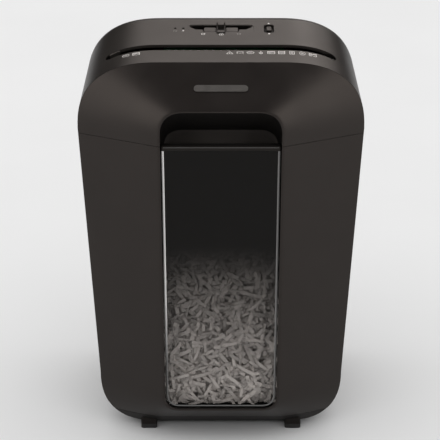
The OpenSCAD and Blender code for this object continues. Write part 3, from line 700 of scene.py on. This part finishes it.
def top_cover():
    """Deck and back of the head, with every opening cut through the skin."""
    cover = keep_between(band_shell("top_cover_skin"), low=SEAM_Z + CLEAR)
    slot_reach = (THROAT_Z - 20 * MM, RIDGE_Z + 20 * MM)
    button_outline = rounded_outline(*grown(BUTTON_HALF, 1 * MM), 2.5 * MM)
    led_profile = [(LED_R + 0.1 * MM, height) for height in REACH]
    tools = [
        prism("slot_tool", slot_outline(), *slot_reach, Matrix.Translation((0, SLOT_Y, 0))),
        prism("recess_tool", rounded_outline(*RECESS_HALF, 5 * MM), *REACH, on_deck(0, RECESS_V)),
        prism("button_tool", button_outline, *REACH, on_deck(BUTTON_U, BUTTON_V))]
    tools += [lathe("led_tool", led_profile, 24, on_deck(u, RECESS_V)) for u in LED_U]
    for k in range(-7, 8):
        where = Matrix.Translation((k * VENT_PITCH, REAR_TOOL_Y, VENT_Z)) @ TO_REAR
        tools.append(prism("vent_tool", rounded_outline(*VENT_HALF, 1.5 * MM, 3), 0, REAR_TOOL, where))
    where = Matrix.Translation((GLAND_X, REAR_Y, GLAND_Z)) @ TO_REAR
    tools.append(lathe("gland_tool", [(GLAND_R, -12 * MM), (GLAND_R, 6 * MM)], 32, where))
    cut(cover, *tools)
    bevel(cover, 0.3 * MM)
    piece(weighted(cover), "cabinet", "deck_cover", "top_cover")


def slot_collar():
    """Walls of the paper entry below the skin of the deck."""
    edge, lining, back = mm(0.02, -0.4, 2)
    rings = []
    for grow, under in ((edge, 0.5), (lining, 0.5), (lining, None), (back, None), (back, 3), (edge, 3)):
        ring = []
        for x, y in slot_outline(grow):
            y += SLOT_Y
            ring.append(Vector((x, y, THROAT_Z if under is None else deck_height(x, y) - under * MM)))
        rings.append(ring)
    collar = loft("slot_collar", rings, closed=True)
    # Near-black walls: painted shade inside the paper entry
    piece(smooth(collar), "cabinet", "recess_black")


def slot_cheek():
    """Guide lip on the rear wall of the paper entry, at its left end."""
    wall = SLOT_Y + SLOT_WIDTH / 2
    y0, y1, chamfer = wall - 1.1 * MM, wall + 0.5 * MM, 0.5 * MM
    rings = []
    for x in spaced(-109 * MM, -99 * MM, 8):
        high = deck_height(x, y1) - 0.7 * MM
        foot = high - 7 * MM
        section = ((y0, foot), (y0, high - chamfer), (y0 + chamfer, high), (y1, high), (y1, foot))
        rings.append([Vector((x, y, z)) for y, z in section])
    ends = [sum(ring, Vector()) / len(ring) for ring in (rings[0], rings[-1])]
    lip = loft("slot_lip", rings, poles=ends)
    piece(smooth(lip), "cabinet", "deck_cover")


def front_fascia():
    """Brow and shoulders: the mask above the seam."""
    fascia = keep_between(mask_shell("front_fascia_skin"), low=SEAM_Z + CLEAR)
    bevel(fascia, 0.4 * MM, 50)
    piece(weighted(fascia), "cabinet", "casing", "front_fascia")


def bin_front():
    """The mask below the seam, with the bulkhead that joins it to the tub."""
    skin = keep_between(mask_shell("bin_front_skin"), BASE_Z + CLEAR, SEAM_Z - CLEAR)
    y0, y1 = BAND_Y - 3.2 * MM, BAND_Y - CLEAR
    wide = [ring_at(station(y), y, WALL - 0.05 * MM) for y in (y0, y1)]
    tub = [ring_at(TUB, y, 2 * MM) for y in (y1, y0)]
    bulkhead = keep_between(loft("bin_bulkhead", wide + tub, closed=True), BASE_Z + CLEAR, SEAM_Z - CLEAR)
    whole = join("bin_front_shell", [skin, bulkhead])
    bevel(whole, 0.4 * MM, 50)
    piece(weighted(whole), "bin", "casing", "bin_front")


def cabinet_shell():
    """Sides and back below the seam, with the opening for the rear panel."""
    shell = keep_between(band_shell("cabinet_skin"), BASE_Z + CLEAR, SEAM_Z - CLEAR)
    low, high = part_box("rear_panel")
    half = ((high[0] - low[0]) / 2 + 2 * CLEAR, (high[2] - low[2]) / 2 + 2 * CLEAR)
    where = Matrix.Translation((0, REAR_TOOL_Y, (low[2] + high[2]) / 2)) @ TO_REAR
    cut(shell, prism("panel_tool", rounded_outline(*half, 10 * MM), 0, REAR_TOOL, where))
    bevel(shell, 0.4 * MM)
    piece(weighted(shell), "cabinet", "casing", "cabinet_shell")


FOOT_OUTLINE = rounded_outline(*mm(8.2, 8.2, 2))
BOSS_TOP, SPIGOT_TOP = mm(15.5, 13.9)
SPIGOT_R, HEAD_R, HOLE_R = mm(6, 3.6, 1.6)


def foot_place(name):
    """Matrix that moves the origin to the floor under the middle of a foot."""
    low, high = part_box(name)
    return Matrix.Translation(((low[0] + high[0]) / 2, (low[1] + high[1]) / 2, 0))


def base_tray():
    """Bottom of the casing, with a square boss over each foot."""
    outer = list(reversed(mask_rows(BAND_Y - 1 * MM)[:-4]))
    outer += [ring_at(soft_station(y, 0.5 * MM), y) for y in spaced(BAND_Y - 0.5 * MM, BAND_Y + 0.5 * MM, 3)]
    outer += band_rows(BAND_Y + 1.5 * MM, 0.0)
    inner = [inner_lip(), ring_at(BAND, BAND_Y, WALL)] + band_rows(BAND_Y + 1.5 * MM, WALL)
    tray = loft("base_tray_skin", list(reversed(inner)) + outer, poles=shell_poles())
    keep_between(tray, high=BASE_Z - CLEAR)
    bosses = [prism("foot_boss", FOOT_OUTLINE, BELLY_Z, BOSS_TOP, foot_place(name)) for name in FEET]
    whole = join("base_tray_shell", [tray] + bosses)
    bevel(whole, 0.35 * MM, 50)
    piece(weighted(whole), "cabinet", "base_black", "base_tray")


def feet():
    """Square rubber blocks under the tray's bosses, each with a spigot and a recess for its screw."""
    for name in FEET:
        at = foot_place(name)
        block = prism("block", FOOT_OUTLINE, 0, BELLY_Z - 0.05 * MM, at)
        bevel(block, 0.8 * MM, 50, 3)
        apply_modifiers(block)
        cut(block, lathe("recess", [(HEAD_R, -1 * MM), (HEAD_R, BELLY_Z + 1 * MM)], 32, at))
        spigot = lathe("spigot", [(SPIGOT_R, BELLY_Z - 0.5 * MM), (SPIGOT_R, SPIGOT_TOP)], 32, at)
        wider = HEAD_R + 0.05 * MM
        cut(spigot, lathe("recess", [(wider, 0), (wider, BELLY_Z)], 32, at),
            lathe("hole", [(HOLE_R, 0), (HOLE_R, 20 * MM)], 24, at))
        whole = join(name + "_block", [block, spigot])
        piece(smooth(whole), "cabinet", "foot_rubber", name)


def hand_recess():
    """Pocket behind the arch: walls that draw in to a rounded back, open at the foot. Its back is painted
    light and its walls painted shade.
    """
    low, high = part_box("hand_recess")
    foot = low[2]
    back_half, wall, turn = OPEN_HALF - 3 * MM, 1.8 * MM, 0.82
    front = (OPEN_HALF, OPEN_TOP, *mm(24, 24), OPEN_HALF, foot - 60 * MM, *mm(5, 5))
    back = (back_half, OPEN_TOP - 30 * MM, *mm(20, 17), back_half, foot - 60 * MM, *mm(5, 5))
    y0, y1 = low[1], high[1] - wall
    near = mix(front, back, turn)
    inner = [ring_at(front, y0), ring_at(near, y0 + turn * (y1 - y0))]
    bend = ring_at(near, y0 + 0.86 * (y1 - y0))
    inner += bezier_rings(bend, ring_at(back, y1), ring_at(back, y1, 4 * MM))
    outer = [ring_at(front, y0, -wall), ring_at(back, high[1], -wall)]
    middle = Vector((0, 0, foot + 5 * MM))
    poles = (middle + Vector((0, y1, 0)), middle + Vector((0, high[1], 0)))
    pocket = loft("hand_pocket", list(reversed(inner)) + outer, poles=poles)
    keep_between(pocket, low=foot)
    near_y, far_y, wide = y0 - 5 * MM, FRONT_Y + 12 * MM, 0.1
    lip = [(-wide, near_y), (wide, near_y), (wide, far_y), (-wide, far_y)]
    cut(pocket, prism("lip_tool", lip, foot - 5 * MM, SEAM_Z + 0.4 * MM))
    bevel(pocket, 0.3 * MM, 50)
    piece(weighted(pocket), "cabinet", "recess_black", "hand_recess")
    # Faces at the back take the lighter copy: painted light on the back wall, against the painted shade of
    # the near-black walls
    pocket.data.materials.append(POCKET_BACK_PAINTED_LIGHT)
    for face in pocket.data.polygons:
        if face.center.y > y1 - 2 * MM:
            face.material_index = 1


# ---------- window and shreds ----------

HEAP_FOOT = 38.5 * MM


def window_pane():
    """Smoked pane: a flat face with rounded edges, side walls behind it and a flange inside the opening."""
    low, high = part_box("window_pane")
    y, middle = low[1], (low[2] + high[2]) / 2
    thick, flange = mm(2.2, -2.8)
    rings = [ring_at(PANE, y, PANE_CURVE + 0.3 * MM)]
    rings += bezier_rings(ring_at(PANE, y, PANE_CURVE), ring_at(PANE, y), ring_at(PANE, y + PANE_CURVE), 8)
    for depth, inset in ((3.2, 0), (3.2, flange), (4.8, flange), (4.8, 0), (9, 0), (9, thick), (4.2, thick)):
        rings.append(ring_at(PANE, y + depth * MM, inset))
    rings += bezier_rings(ring_at(PANE, y + 4 * MM, thick), ring_at(PANE, y + thick, thick),
                          ring_at(PANE, y + thick, 4 * MM), 4)
    poles = (Vector((0, y, middle)), Vector((0, y + thick, middle)))
    glass = loft("smoked_pane", rings, poles=poles)
    keep_between(glass, high=high[2])
    glass.visible_shadow = False
    piece(weighted(glass), "bin", "window", "window_pane")


def pane_edge():
    """Painted highlight on the pane's rounded edge, pale on its left and greyer elsewhere, and a thin
    painted highlight line on the grip rail.
    """
    low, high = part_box("window_pane")
    rail_low, rail_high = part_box("grip_rail")
    proud, top = 0.06 * MM, high[2] - 0.3 * MM
    rows = []
    for k in range(6):
        t = 0.02 + 0.16 * k
        rows.append(ring_at(PANE, low[1] + PANE_CURVE * t * t - proud, PANE_CURVE * (1 - t) ** 2 - proud))
    verts = [Vector((p.x, p.y, min(p.z, top))) for row in rows for p in row]
    count = len(rows[0])
    faces = []
    for r in range(len(rows) - 1):
        for i in range(count):
            j = (i + 1) % count
            if min(rows[0][i].z, rows[0][j].z) < top:
                faces.append((r * count + i, r * count + j, (r + 1) * count + j, (r + 1) * count + i))
    # Tones set how bright the painted highlight is: brightest high on the left edge and fading downwards,
    # greyer on the right and at the foot
    tones = []
    for p in verts:
        if p.x < -50 * MM:
            tones.append(min(max((p.z - 95 * MM) / (60 * MM), 0.14), 1))
        else:
            tones.append(0.2 if p.z > 60 * MM else 0.16)
    # A thin, dim painted highlight line along the top of the grip rail's front
    first, columns = len(verts), 9
    for under_top in mm(1.5, 1.1):
        for x in spaced(rail_low[0] + 2 * MM, rail_high[0] - 2 * MM, columns):
            verts.append(Vector((x, rail_low[1] - 0.05 * MM, rail_high[2] - under_top)))
            tones.append(0.1)
    edge = mesh_object("pane_painted_highlight", verts, faces + grid_faces(first, 2, columns))
    set_tones(edge, tones)
    piece(smooth(edge, 80), "bin", "window", look=PAINTED_EDGE_HIGHLIGHT)


def strip(verts, faces, tones, centre, along, across, size, bend, twist, tone):
    """Adds one curled paper strip to the lists."""
    length, width = size
    normal = along.cross(across).normalized()
    steps = 5
    first = len(verts)
    for k in range(steps + 1):
        t = k / steps - 0.5
        side = Matrix.Rotation(twist * t, 3, along) @ across
        middle = centre + along * (length * t) + normal * (bend * (0.25 - t * t) * 4)
        verts += [middle - side * (width / 2), middle + side * (width / 2)]
        tones += [tone, tone]
    for k in range(steps):
        a = first + 2 * k
        faces.append((a, a + 1, a + 3, a + 2))


def inside_half(y, z):
    """Half of the room inside the casing at a depth and height."""
    hw, top, cw, ch, fhw, foot, fw, fh = station(y) if y < BAND_Y else BAND
    upper, lower = top - ch, foot + fh
    if z > upper:
        half = hw - cw + cw * (1 - min((z - upper) / ch, 1) ** SQUARENESS) ** (1 / SQUARENESS)
    elif z < lower:
        half = fhw - fw + fw * (1 - min((lower - z) / fh, 1) ** SQUARENESS) ** (1 / SQUARENESS)
    else:
        half = fhw + (hw - fhw) * (z - lower) / (upper - lower)
    return half - 5 * MM


def shred_pile():
    """Loose cross-cut strips: a leaning layer behind the window and the top of the heap in the bin."""
    rng = random.Random(7)
    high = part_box("shredded_paper")[1]
    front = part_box("window_pane")[1][1] + 1.5 * MM
    top = high[2]
    verts, faces, tones = [], [], []

    def scatter(count, pick, facing):
        for _ in range(count):
            centre = pick()
            turn = rng.uniform(0, pi)
            normal = (facing + Vector([rng.gauss(0, 0.3) for _ in range(3)])).normalized()
            guess = Matrix.Rotation(turn, 3, facing) @ Vector((1, 0, 0))
            along = (guess - normal * guess.dot(normal)).normalized()
            size = (rng.uniform(16, 38) * MM, rng.uniform(2.8, 3.9) * MM)
            strip(verts, faces, tones, centre, along, normal.cross(along), size,
                  rng.gauss(0, 1.3) * MM, rng.gauss(0, 0.45), 0.6 + 0.4 * rng.random())

    def behind_window():
        depth = rng.random() * 11 * MM
        x = rng.uniform(-1, 1) * 57 * MM
        return Vector((x, front + 2.5 * MM + depth, rng.uniform(OPEN_FOOT, top - 2 * MM)))

    def heap_top():
        y = rng.uniform(front + 14 * MM, high[1] - 16 * MM)
        x = rng.uniform(-1, 1) * (54 if y < BAND_Y + 4 * MM else 96) * MM
        wave = 3 * MM * sin(x * 45) * cos(y * 60)
        return Vector((x, y, top - rng.uniform(2, 12) * MM + wave))

    window_strips, heap_strips = 2500, 2000
    scatter(window_strips, behind_window, Vector((0, -1, 0)))
    scatter(heap_strips, heap_top, Vector((0, 0, 1)))
    for k, v in enumerate(verts):
        y = min(max(v.y, front), high[1] - 2 * MM)
        z = min(max(v.z, HEAP_FOOT), top - 0.5 * MM)
        reach = min(inside_half(y, z), high[0] - 0.5 * MM)
        verts[k] = Vector((min(max(v.x, -reach), reach), y, z))
    pile = mesh_object("shredded_paper_strips", verts, faces)
    set_tones(pile, tones)
    piece(smooth(pile, 80), "bin", "shreds", "shredded_paper")


def heap_core():
    """Nearly black sheet inside the heap, which closes the gaps between the loose strips: painted shade in
    the gaps.
    """
    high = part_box("shredded_paper")[1]
    front_y, back_y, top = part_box("window_pane")[1][1] + 15 * MM, high[1] - 3 * MM, high[2] - 9 * MM
    columns, front_rows, top_rows = 40, 36, 34
    verts = []
    for z in spaced(HEAP_FOOT, top, front_rows):
        for x in spaced(-OPEN_HALF - 4 * MM, OPEN_HALF + 4 * MM, columns):
            wave = 1.5 * MM * sin(x * 310 + z * 170) * cos(z * 260 - x * 90)
            verts.append(Vector((x, front_y + wave, z)))
    faces = grid_faces(0, front_rows, columns) + grid_faces(len(verts), top_rows, columns)
    for y in spaced(front_y, back_y, top_rows):
        half = min(inside_half(y, top), high[0]) - 2 * MM
        for x in spaced(-half, half, columns):
            wave = 2 * MM * sin(x * 190 + y * 80) * cos(y * 210 - x * 60)
            verts.append(Vector((x, y, top + wave)))
    core = mesh_object("shredded_paper_painted_shade", verts, faces)
    # The low tone makes the sheet nearly black, as painted shade between the strips
    set_tones(core, [0.12] * len(verts))
    piece(smooth(core, 80), "bin", "shreds")


# ---------- controls ----------


def scaled_points(points, mirror=False):
    """Outline given in millimetres, in metres; mirror adds the points' images on the left."""
    points = [mm(*p) for p in points]
    return points + [(-x, y) for x, y in reversed(points)] if mirror else points


def control_plate():
    """Trim plate in the recess, with a boat-shaped opening that is narrow towards the foot of the deck."""
    at = on_deck(0, RECESS_V)
    outline = rounded_outline(*grown(RECESS_HALF, -0.2 * MM), 4.8 * MM)
    plate = prism("control_trim", outline, *mm(-0.6, -0.15), at)
    right = [(17.6, -7.5), (18.4, -2.6), (25, -2.4), (31.4, 3), (31.4, 6), (30, 7.1)]
    cut(plate, extrusion("trim_tool", scaled_points(right, True), *mm(-3, 3), at))
    bevel(plate, 0.12 * MM)
    piece(weighted(plate), "cabinet", "deck_cover")


def slider_knob():
    """Slider: a carriage with a flat finger pad each side of a black saddle-shaped fin."""
    at = on_deck(0, RECESS_V)
    parts = [prism("plate", rounded_outline(*mm(17.3, 5.8, 2)), *mm(-4, -3), at)]
    for s in (-1, 1):
        pad = [(x + s * 11 * MM, y - 0.9 * MM) for x, y in rounded_outline(*mm(5.9, 4.5, 1.2))]
        parts.append(prism("pad", pad, *mm(-3, -1), at))
    parts.append(prism("stem", rounded_outline(*mm(3.5, 1.8, 1)), *mm(-9, -3.5), at))
    carriage = join("slider_carriage", parts)
    bevel(carriage, 0.3 * MM)
    piece(weighted(carriage), "slider", "knob", "slider_knob", look=SHADES["deck_cover"])
    # Side views of the fin's parts, as (up the deck, out of the deck)
    saddle = [(-6.4, -3), (-6.3, 0.4), (-5.9, 0.8), (-5, 0.5), (-2, -0.6), (0, -0.5),
              (2.2, 2), (2.8, 2.4), (5.6, 2.4), (6.1, 2), (6.1, -3)]
    cheek = [(-6.4, -3), (-6.4, 0.4), (-10, 0.4), (-10.4, 0.8), (-6.4, 1.3), (1, 2.2),
             (3.4, 3.6), (5.8, 3.8), (6.3, 3.2), (6.3, -3)]
    lip = [(-11, 0.35), (-11.2, 0.7), (-10.6, 1), (-6, 1), (-6, 0.35)]
    side_on = at @ Matrix(((0, 0, 1, 0), (1, 0, 0, 0), (0, 1, 0, 0), (0, 0, 0, 1)))
    fins = []
    for name, view, near, far in (("saddle", saddle, -3.1, 3.1), ("cheek", cheek, -4.4, -3.05),
                                  ("cheek", cheek, 3.05, 4.4), ("lip", lip, -3.6, 3.6)):
        fins.append(extrusion(name, scaled_points(view), *mm(near, far), side_on))
    fin = join("slider_fin", fins)
    bevel(fin, 0.25 * MM)
    piece(weighted(fin), "slider", "knob")


def lock_button():
    """Small push button with a gently dished cap, in a near-black surround, painted shade, which sinks with
    it.
    """
    at = on_deck(BUTTON_U, BUTTON_V)
    half = mm(2.5, 4.3)
    rings = []
    for height, inset in ((-4, 0), (-0.1, 0), (0.2, 0.15), (0.35, 0.5), (0.3, 0.9), (0.2, 1.4)):
        outline = rounded_outline(*grown(half, -inset * MM), (1.2 - 0.3 * inset) * MM)
        rings.append([at @ Vector((x, y, height * MM)) for x, y in outline])
    cap = loft("button_cap", rings, poles=[at @ Vector((0, 0, height)) for height in mm(-4, 0.18)])
    piece(weighted(cap), "button", "button", "lock_button")
    hole = rounded_outline(*grown(half, 0.02 * MM), 1.2 * MM)
    skirt = prism("skirt", rounded_outline(*grown(BUTTON_HALF, 2 * MM), 2 * MM), *mm(-4.6, -3.2), at)
    ledge = prism("ledge", rounded_outline(*grown(BUTTON_HALF, 0.6 * MM), 2 * MM), *mm(-3.3, -2.4), at)
    cut(ledge, prism("ledge_tool", hole, *mm(-3.9, -1), at))
    stem = lathe("stem", [mm(1.6, -10.5), mm(1.6, -4.5)], 24, at)
    surround = join("button_surround", [skirt, ledge, stem])
    bevel(surround, 0.2 * MM)
    # Near-black surround: painted shade in the gap round the cap
    piece(weighted(surround), "button", "recess_black")


def lock_spring():
    """Coil under the button."""
    radius, wire = mm(2.7, 0.3)
    turns, per_turn, sides = 5, 20, 8
    foot, top, travel = mm(-16.15, -5.05, 2)
    at = on_deck(BUTTON_U, BUTTON_V)
    rings = []
    for k in range(turns * per_turn + 1):
        turn = 2 * pi * k / per_turn
        rise = foot + wire + (top - foot - 2 * wire) * k / (turns * per_turn)
        ring = []
        for j in range(sides):
            a = 2 * pi * j / sides
            out = radius + wire * cos(a)
            ring.append(at @ Vector((out * cos(turn), out * sin(turn), rise + wire * sin(a))))
        rings.append(ring)
    ends = [sum(ring, Vector()) / sides for ring in (rings[0], rings[-1])]
    coil = smooth(loft("lock_coil", rings, poles=ends), 60)
    piece(coil, "cabinet", "spring_steel", "lock_spring")
    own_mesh(coil)


def light_pipes():
    """Two dark indicator lenses, set a little below the skin of the deck."""
    crown = ((1, -11), (1, -1.9), (0.9, -1.65), (0.6, -1.5), (0.2, -1.44))
    for name, u in zip(("led_overheat", "led_bin_open"), LED_U):
        profile = [(share * LED_R, height * MM) for share, height in crown]
        pipe = lathe(name + "_lens", profile, 24, on_deck(u, RECESS_V))
        piece(smooth(pipe, 50), "cabinet", "light_pipe", name)


def bar(cx, cy, half_x, half_y):
    """Corners of a rectangle."""
    return [(cx + sx * half_x, cy + sy * half_y) for sx, sy in ((-1, -1), (1, -1), (1, 1), (-1, 1))]


def frame_of_bars(half_x, half_y, line):
    """Four bars round an empty middle."""
    return [bar(0, s * half_y, half_x + line, line) for s in (1, -1)] + [
        bar(s * half_x, 0, line, half_y) for s in (-1, 1)]


def hoop(cx, cy, radius, thick, start=0, end=360, lower=0.0):
    """Quads of a ring or an arc, lower by that much than it is wide to each side."""
    steps = 20
    quads = []
    for k in range(steps):
        a, b = (radians(start + (end - start) * (k + d) / steps) for d in (0, 1))
        corners = ((radius, a), (radius, b), (radius - thick, b), (radius - thick, a))
        quads.append([(cx + r * cos(t), cy + (r - lower) * sin(t)) for r, t in corners])
    return quads


LINE, RING = 0.25, 0.5
# Plain symbols in fine lines, about 8 mm wide: outlines in millimetres round their middles
SYMBOLS = {
    "sheet": frame_of_bars(2.3, 2.9, LINE) + [bar(0, y, 1.3, LINE) for y in (-1.2, 0.2, 1.5)],
    "stack": [bar(0, y, 3.4, LINE) for y in (-2.6, -0.9, 0.9, 2.6)] + [
        bar(x, 0, LINE, 2.6) for x in (-3.2, 3.2)],
    "card": frame_of_bars(3.6, 2.3, LINE) + [bar(0, 1.1, 3.4, 1.6 * LINE), bar(-1.5, -0.9, 1.2, LINE)],
    "ring": hoop(0, 0, 3.2, RING) + hoop(0, 0, 1.1, RING),
    "staple": [bar(0, 1.8, 3.2, LINE), bar(0, -1.2, 1.6, LINE)] + [
        bar(x, -0.3, LINE, 2.1) for x in (-3, 3)],
    "clip": hoop(-1.6, 0, 2.2, RING, 90, 270) + hoop(1.6, 0, 2.2, RING, -90, 90) + [
        bar(0, 2, 1.6, LINE), bar(0, -2, 1.6, LINE), bar(0, 0.4, 2.2, LINE)],
    "triangle": [[(-3.5, -2.8), (3.5, -2.8), (3, -2.4), (-3, -2.4)],
                 [(-3.5, -2.8), (-3, -2.8), (0.2, 2.8), (-0.2, 2.8)],
                 [(3, -2.8), (3.5, -2.8), (0.2, 2.8), (-0.2, 2.8)], bar(0, -0.8, LINE, 1.1)],
    "dots": [bar(x, 0, 0.5, 0.5) for x in (-2.6, 0, 2.6)],
    "drop": hoop(0, -0.9, 2, RING, lower=0.1) + [bar(0, 2.1, LINE, 1.1), bar(0, -0.9, 0.6, 0.6)],
    "solid": [bar(0, 0, 1.7, 1.4)],
    "peak": [[(-2.2, -1.6), (2.2, -1.6), (0, 2)]],
}


def printed_marks():
    """Plain symbols printed beside the paper entry and the controls; none of them is a letter."""
    row_v = SLOT_Y - 10.8 * MM
    near = BAND_Y + RECESS_V * cos(DECK_ANGLE)
    row = ("triangle", "staple", "clip", "drop", "card", "stack", "sheet", "ring", "card")
    placed = [(kind, (8.5 + 10.1 * k) * MM, row_v, 0.95) for k, kind in enumerate(row)]
    placed += [
        ("clip", -92.5 * MM, row_v, 0.9),
        ("card", -82.5 * MM, row_v, 0.9),
        ("dots", LED_U[0], near - 6 * MM, 0.5),
        ("solid", LED_U[1], near - 5.6 * MM, 0.5),
        ("stack", -17.6 * MM, near - 12.6 * MM, 0.55),
        ("ring", 0.3 * MM, near - 13.4 * MM, 0.7),
        ("dots", 18 * MM, near - 12.6 * MM, 0.6),
        ("peak", BUTTON_U, near + 10.4 * MM, 0.5),
        ("solid", BUTTON_U, near - 12.2 * MM, 0.55)]
    verts, faces = [], []
    for kind, cx, cy, size in placed:
        for outline in SYMBOLS[kind]:
            faces.append(tuple(range(len(verts), len(verts) + len(outline))))
            for dx, dy in outline:
                x, y = cx + dx * size * MM, cy + dy * size * 1.1 * MM * cos(DECK_ANGLE)
                verts.append(Vector((x, y, deck_height(x, y) + 0.06 * MM)))
    marks = mesh_object("printed_marks", verts, faces)
    tidy_normals(marks)
    piece(marks, "cabinet", "light_pipe", look=MARK_WHITE)


# ---------- fasteners ----------


def rear_screws():
    """Pan heads with a cross recess, one on each screw of the rear panel."""
    low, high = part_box("rear_panel_screws")
    radius, height, seat = 3 * MM, 1.0 * MM, high[1] - 0.9 * MM
    xs, zs = (low[0] + radius, high[0] - radius), (low[2] + radius, (low[2] + high[2]) / 2, high[2] - radius)
    crown = [(radius, 0), (radius, 0.35 * height)]
    for degrees in (25, 50, 70):
        a = radians(degrees)
        crown.append((radius * cos(a), height * (0.35 + 0.65 * sin(a))))
    turn = Vector((0, 1, 0)).to_track_quat("Z", "Y").to_matrix().to_4x4()
    heads = []
    for centre in [Vector((x, seat, z)) for x in xs for z in zs]:
        at = Matrix.Translation(centre) @ turn
        head = lathe("head", crown, 32, at)
        spin = random.Random(round(centre[0] * 1e4) + round(centre[2] * 1e3)).uniform(0, 90)
        for quarter in (0, 90):
            at_slot = at @ Matrix.Rotation(radians(spin + quarter), 4, "Z")
            slot = bar(0, 0, 0.62 * radius, 0.17 * radius)
            cut(head, prism("cross", slot, 0.35 * height, 3 * height, at_slot))
        heads.append(head)
    whole = join("rear_screw_heads", heads)
    piece(smooth(whole), "cabinet", "screw_steel")


def soften_cad():
    """Small rounded edges on the CAD nodes that show."""
    for name, width in (("grip_rail", 1.0), ("rear_panel", 0.5), ("cord_gland", 0.5), ("badge", 0.2),
                        ("control_bezel", 0.3), ("bin_tub", 0.5), ("head_chassis", 0.5), ("motor_can", 0.6)):
        node = frame["nodes"][name]
        weld = node.modifiers.new("weld", "WELD")
        weld.merge_threshold = 1e-5
        bevel(node, width * MM)


for build in (top_cover, slot_collar, front_fascia, bin_front, cabinet_shell, base_tray, feet, hand_recess,
              window_pane, pane_edge, shred_pile, heap_core, control_plate, slider_knob, lock_button,
              lock_spring, light_pipes, slot_cheek, printed_marks, rear_screws, soften_cad):
    build()

# ---------- floor, lights and camera ----------

FLOOR_SIZE = 60
AIM = Vector((0, 0, 0.2))


def floor():
    bpy.ops.mesh.primitive_plane_add(size=FLOOR_SIZE, location=(0, 0, 0))
    plane = bpy.context.object
    plane.name = "floor"
    plane.data.materials.append(floor_material("floor_paper"))


def area_light(name, azimuth, elevation, size, radiance, color, distance=2):
    """Soft box aimed at the object from an azimuth (0 is the front, 90 the right) and an elevation."""
    data = bpy.data.lights.new(name, "AREA")
    data.shape = "RECTANGLE"
    data.size, data.size_y = size
    data.energy = pi * size[0] * size[1] * radiance
    data.color = color
    light = link(bpy.data.objects.new(name, data))
    turn, rise = radians(azimuth), radians(elevation)
    away = Vector((sin(turn) * cos(rise), -cos(turn) * cos(rise), sin(rise)))
    light.location = AIM + away * distance
    light.rotation_euler = (-away).to_track_quat("-Z", "Y").to_euler()
    light.visible_camera = False
    return light


def light_only(lights, name, state):
    """Lets the lights shine on the floor alone (INCLUDE) or on everything else (EXCLUDE)."""
    group = bpy.data.collections.new(name)
    group.objects.link(bpy.data.objects["floor"])
    group.collection_objects[0].light_linking.link_state = state
    for light in lights:
        light.light_linking.receiver_collection = group


def world(backdrop, ambient):
    """White backdrop to the camera, much dimmer as a light."""
    scene_world = bpy.data.worlds.new("studio")
    scene_world.use_nodes = True
    tree = scene_world.node_tree
    background = tree.nodes["Background"]
    fill(background, Color=(1, 1, 1, 1), Strength=ambient)
    seen = tree.nodes.new("ShaderNodeBackground")
    fill(seen, Strength=backdrop)
    path = tree.nodes.new("ShaderNodeLightPath")
    mixer = tree.nodes.new("ShaderNodeMixShader")
    tree.links.new(path.outputs["Is Camera Ray"], mixer.inputs["Fac"])
    tree.links.new(background.outputs["Background"], mixer.inputs[1])
    tree.links.new(seen.outputs["Background"], mixer.inputs[2])
    tree.links.new(mixer.outputs["Shader"], tree.nodes["World Output"].inputs["Surface"])
    bpy.context.scene.world = scene_world


def camera():
    """Long lens at the photo's height, straight ahead of the object."""
    data = bpy.data.cameras.new("camera")
    data.lens, data.sensor_width = 151.3, 36
    cam = link(bpy.data.objects.new("camera", data))
    target = Vector(mm(-0.9, 0, 201.5))
    rise, distance = radians(22.3), 1.92
    away = Vector((0, -cos(rise), sin(rise)))
    cam.location = target + away * distance
    cam.rotation_euler = (-away).to_track_quat("-Z", "Y").to_euler()
    bpy.context.scene.camera = cam


WARM, NEUTRAL = (1, 0.93, 0.89), (1, 0.98, 0.965)
BIG, SMALL = (1, 1), (0.7, 0.7)

floor()
# Three lamps behind and one in front, then four on each side, by azimuth, elevation, size and radiance
lamps = [
    area_light("rear", 180, 42, BIG, 1.8, WARM),
    area_light("rear_right_high", 140, 55, BIG, 2.5, WARM),
    area_light("rear_right_low", 160, 30, SMALL, 1.2, WARM),
    area_light("front_low", 0, 8, BIG, 0.9, NEUTRAL)]
for side in (-1, 1):
    lamps += [
        area_light("upper_side", side * 90, 48, BIG, 6.5, NEUTRAL),
        area_light("upper_front", side * 48, 36, SMALL, 2.9, NEUTRAL),
        area_light("level_front", side * 49, 20, SMALL, 3.0, NEUTRAL),
        area_light("low_front", side * 52, 5, SMALL, 2.4, NEUTRAL)]
# The floor has a wide lamp of its own and none of the others, so that it is evenly pale
light_only(lamps, "unlit_by_lamps", "EXCLUDE")
overhead = area_light("overhead", 0, 90, (FLOOR_SIZE, FLOOR_SIZE), 1.1, (1, 1, 1), 12)
light_only([overhead], "lit_overhead", "INCLUDE")
world(1.0, 0.02)
camera()
bpy.context.scene.view_settings.view_transform = "Standard"
